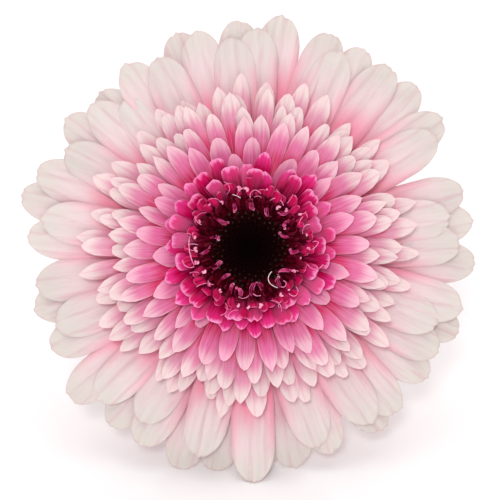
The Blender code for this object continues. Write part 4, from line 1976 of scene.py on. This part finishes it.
@dataclass(frozen=True)
class Stem:
    """The leafless stem: along the head's axis, down to the surface and along it to its cut."""

    radius: float = 3.0 * MM
    neck_radius: float = 3.7 * MM
    end_radius: float = 3.4 * MM
    neck_length: float = 14.0 * MM
    start: float = 16.2 * MM
    sunk: float = 0.6 * MM
    lying: float = 44.0 * MM
    sway: float = 9.0 * MM
    cut_slant: float = math.radians(28)
    cut_reach: float = 8 * MM
    cut_insets: tuple[float, ...] = (0.1, 0.16, 0.24, 0.26)
    hollow: float = 0.35 * MM
    hollow_rim: float = 0.8
    hollow_slope: float = 0.6
    ribs: int = 9
    rib_depth: float = 0.09 * MM
    rib_start: float = 6 * MM
    rings: int = 130
    sides: int = 54
    end_share: float = 0.001
    own_chance: float = 0.4

    @property
    def top(self) -> Vector:
        """Where the middle line leaves the cup."""
        return Vector(HEAD.centre) - HEAD.axis * self.start

    @property
    def bend_radius(self) -> float:
        """Radius of the bend that brings the stem down to the surface."""
        return (self.top.z - self.end_radius) / (1 - math.cos(HEAD.lean))

    @property
    def length(self) -> float:
        """Length of the middle line."""
        return self.bend_radius * HEAD.lean + self.lying

    def centre(self, run: np.ndarray) -> tuple[np.ndarray, np.ndarray]:
        """Middle line and radius.

        Args:
            run: Distances along the stem from its start under the cup.

        Returns:
            The points, one row each, and the radii.
        """
        lean, top, bend_radius = HEAD.lean, self.top, self.bend_radius
        arc = bend_radius * lean
        angle = lean * np.maximum(1 - run / arc, 0.0)
        over = np.maximum(run - arc, 0.0)
        share = run / self.length
        x = top.x + self.sway * share ** 2
        y = top.y + bend_radius * (math.sin(lean) - np.sin(angle)) + over
        z = top.z - bend_radius * (np.cos(angle) - math.cos(lean))
        radius = blend((self.neck_radius, self.radius), smooth(run / self.neck_length))
        radius = radius + (self.end_radius - self.radius) * smooth(share)
        return np.stack((x, y, z), axis=1), radius

    def bar(self) -> Object:
        """Model a straight upright bar with rings along it and, on its top face, for the cut.

        Returns:
            The bar, one metre in radius and height, whose top faces have the second slot.
        """
        deselect()
        bpy.ops.mesh.primitive_cylinder_add(vertices=self.sides, radius=1.0, depth=1.0)
        obj = bpy.context.object
        obj.name = obj.data.name = "stem_skin"
        heights = points_of(obj)[:, 2]
        pick(obj, "EDGE", [bool(heights[edge.vertices[0]] * heights[edge.vertices[1]] < 0)
                           for edge in obj.data.edges])
        with edit_mode():
            bpy.ops.mesh.subdivide(number_cuts=self.rings)
        pick(obj, "FACE", [face.normal.z > UPRIGHT for face in obj.data.polygons])
        with edit_mode():
            for inset in self.cut_insets:
                bpy.ops.mesh.inset(thickness=inset)
        for face in obj.data.polygons:
            face.material_index = int(face.normal.z > UPRIGHT)
        return obj

    def build(self, skin: Material, cut: Material) -> Object:
        """Bend the bar along the middle line, with its ribs and its slanted cut.

        Args:
            skin: The material of its skin.
            cut: The material of its cut.

        Returns:
            The stem.
        """
        obj = self.bar()
        unit = points_of(obj)
        share = unit[:, 2] + 0.5
        at_root, at_cut = share < self.end_share, share > 1 - self.end_share
        across = np.hypot(unit[:, 0], unit[:, 1])
        turn = np.arctan2(unit[:, 1], unit[:, 0])
        run = share * self.length - self.sunk * at_root
        middle, radius = self.centre(run)
        ahead, _ = self.centre(run + 1 * MM)
        way = (ahead - middle) / np.linalg.norm(ahead - middle, axis=1)[:, None]
        side = np.cross((0.0, 0.0, 1.0), way)
        side /= np.linalg.norm(side, axis=1)[:, None]
        up = np.cross(way, side)
        rib = self.rib_depth * (0.5 - 0.5 * np.cos(turn * self.ribs)) * smooth(run / self.rib_start)
        wide = across * (radius - rib)
        offset = (np.cos(turn) * wide)[:, None] * side + (np.sin(turn) * wide)[:, None] * up
        slant = (self.end_radius + offset[:, 2]) * math.tan(self.cut_slant)
        slant = slant * np.maximum(1 - (self.length - run) / self.cut_reach, 0.0)
        hollow = self.hollow * smooth((self.hollow_rim - across) / self.hollow_slope) * at_cut
        points = middle + offset - (slant + hollow)[:, None] * way
        points[:, 2] = np.maximum(points[:, 2], 0.0)
        set_points(obj, points)
        set_flow(obj, turn * self.ribs / math.tau, run)
        give(obj, tip=run / TIP_UNIT, chance=np.where(at_cut, across, self.own_chance))
        return finished(obj, Part.STEM, skin, cut, keep_slots=True)


@dataclass(frozen=True)
class Down:
    """Short fine hairs on the greens, each sunk a little into the skin."""

    length: Pair = (0.5 * MM, 1.1 * MM)
    radius: float = 0.035 * MM
    lean: float = 0.6
    stand: float = 0.45

    def grow(self, name: str, skin: Object, count: int, part: Part,
             look: Material) -> None:
        """Set hairs on a piece's outer faces.

        Args:
            name: The name of the hairs' piece.
            skin: The piece that they grow on.
            count: How many hairs.
            part: The solid that they belong to.
            look: Their material.
        """
        draw = random.Random(EXTRA_SEED + 5)
        deselect()
        bpy.ops.mesh.primitive_cone_add(vertices=3, radius1=1.0, depth=1.0,
                                        location=(0.0, 0.0, 0.0))
        mould = Mould(bpy.context.object)
        mesh = skin.data
        casts = []
        while len(casts) < count:
            face = mesh.polygons[draw.randrange(len(mesh.polygons))]
            corners = [mesh.vertices[n].co for n in face.vertices]
            weights = [draw.random() for _ in corners]
            base = sum((c * w for c, w in zip(corners, weights)), Vector()) / sum(weights)
            away = base - Vector(HEAD.centre)
            inward = face.normal.dot(away - HEAD.axis * away.dot(HEAD.axis)) < 0
            if part is Part.CUP and inward:
                continue
            way = face.normal + Vector([draw.uniform(-1, 1) * self.lean for _ in range(3)])
            long = draw.uniform(*self.length)
            turn = way.to_track_quat("Z", "Y").to_matrix().to_4x4()
            shape = Matrix.Diagonal((self.radius, self.radius, long, 1.0))
            points = moved(mould.points, Matrix.Translation(base) @ turn @ shape
                           @ Matrix.Translation((0, 0, self.stand)))
            if points[:, 2].min() > 0.0:
                casts.append(mould.cast(f"{name}_{len(casts)}", points))
        finished(joined(name, casts), part, look)
        mould.remove()


@dataclass(frozen=True)
class Lamp:
    """A soft square light: where it stands seen from the head, in degrees, and how strong it is."""

    name: str
    azimuth: float
    elevation: float
    distance: float
    size: float
    power: float


@dataclass(frozen=True)
class Studio:
    """Camera at the photograph's angle, a plain pale floor and soft lights."""

    distance: float = 0.6
    pixel: float = 0.235 * MM
    frame_pixels: int = 500
    head_pixel: Pair = (249.7, 248.0)
    floor_size: float = 6.0
    floor_colour: Colour = (250, 254, 252)
    floor_roughness: float = 0.9
    air: float = 0.41
    air_colour: Colour = (255, 230, 239)
    seen_air: float = 1.0
    seen_colour: Colour = (255, 255, 255)
    lamps: tuple[Lamp, ...] = (
        Lamp("key", -5.0, 33.0, 1.8, 0.25, 11.8),
        Lamp("fill", 6.0, 8.0, 1.6, 0.9, 5.0),
        Lamp("back", 160.0, 35.0, 1.6, 0.9, 4.8),
    )
    sky_power: float = 1.45
    sky_spread: float = math.radians(70)

    def build_camera(self) -> None:
        """Look straight at the face, with the head where the photograph has it."""
        data = bpy.data.cameras.new("camera")
        half = self.frame_pixels / 2
        data.angle = 2 * math.atan(self.pixel * half / self.distance)
        obj = added("camera", data)
        right, down = (half - place for place in self.head_pixel)
        aim = HEAD.matrix @ Vector((right * self.pixel, -down * self.pixel, 0.0))
        obj.location = aim + HEAD.axis * self.distance
        obj.rotation_euler = (-HEAD.axis).to_track_quat("-Z", "Y").to_euler()
        bpy.context.scene.camera = obj

    def build_floor(self) -> None:
        """Lay the pale surface that the flower lies on."""
        deselect()
        bpy.ops.mesh.primitive_plane_add(size=self.floor_size)
        floor = bpy.context.object
        floor.name = "floor"
        nodes = Shading("floor_pale")
        nodes.fill(nodes.shader, Base_Color=linear(self.floor_colour),
                   Roughness=self.floor_roughness)
        floor.data.materials.append(nodes.material)

    def build_lights(self) -> None:
        """Hang the lamps round the head, and a soft sky above it."""
        for lamp in self.lamps:
            data = bpy.data.lights.new(lamp.name, "AREA")
            data.size = lamp.size
            data.energy = lamp.power
            obj = added(lamp.name, data)
            turn, rise = math.radians(lamp.azimuth), math.radians(lamp.elevation)
            away = Vector((math.sin(turn) * math.cos(rise), -math.cos(turn) * math.cos(rise),
                           math.sin(rise)))
            obj.location = Vector(HEAD.centre) + away * lamp.distance
            obj.rotation_euler = (-away).to_track_quat("-Z", "Y").to_euler()
        sky = bpy.data.lights.new("sky", "SUN")
        sky.energy = self.sky_power
        sky.angle = self.sky_spread
        added("sky", sky)

    def build_air(self) -> None:
        """Fill the air with soft light, which is white where the camera sees it."""
        world = bpy.data.worlds.new("soft_air")
        world.use_nodes = True
        tree = world.node_tree
        air = tree.nodes["Background"]
        seen = tree.nodes.new("ShaderNodeBackground")
        for node, colour, power in ((air, self.air_colour, self.air),
                                    (seen, self.seen_colour, self.seen_air)):
            node.inputs["Color"].default_value = linear(colour)
            node.inputs["Strength"].default_value = power
        path = tree.nodes.new("ShaderNodeLightPath")
        both = tree.nodes.new("ShaderNodeMixShader")
        tree.links.new(path.outputs["Is Camera Ray"], both.inputs["Fac"])
        tree.links.new(air.outputs[0], both.inputs[1])
        tree.links.new(seen.outputs[0], both.inputs[2])
        tree.links.new(both.outputs[0], tree.nodes["World Output"].inputs["Surface"])
        bpy.context.scene.world = world
        bpy.context.scene.view_settings.view_transform = "Standard"

    def build(self) -> None:
        """Build the camera first, then the floor and the light."""
        self.build_camera()
        self.build_floor()
        self.build_lights()
        self.build_air()


def main() -> None:
    """Build the flower and its studio."""
    logging.basicConfig(level=logging.INFO, format="%(name)s %(message)s")
    Studio().build()
    OuterRays().build(RAY_FINISH.material())
    TransFlorets().build(TRANS_FINISH.material())
    InnerFlorets().build(INNER_FINISH.material())
    Eye().build()
    FloretRoots().build({
        Part.RAYS: RibbedFinish("ray_roots", (222, 168, 178), (240, 208, 206)).material(),
        Part.TRANS: RibbedFinish("trans_roots", (198, 76, 122), (224, 136, 166)).material(),
        Part.INNER: RibbedFinish("inner_roots", (136, 6, 56), (180, 36, 92)).material(),
    })
    cup = RibbedFinish("cup_skin", (70, 104, 36), (122, 152, 72))
    leaf = RibbedFinish("bract_leaf", (64, 98, 36), (118, 148, 74), end=(112, 70, 62),
                        end_reach=2.4, end_share=0.7)
    skin = RibbedFinish("stem_skin", (112, 142, 62), (158, 182, 100), end=(128, 110, 66),
                        end_reach=30.0, end_share=0.5)
    involucre = Involucre()
    involucre.build_cup(cup.material())
    bracts = involucre.build_bracts(leaf.material())
    stem = Stem().build(skin.material(), CutFinish().material())
    hair = PlainFinish("down", (214, 222, 190), (188, 200, 156),
                       replace(GLOSSY_SURFACE, roughness=0.5)).material()
    Down().grow("bract_down", bracts, 500, Part.CUP, hair)
    Down().grow("stem_down", stem, 1100, Part.STEM, hair)


if __name__ == "__main__":
    main()
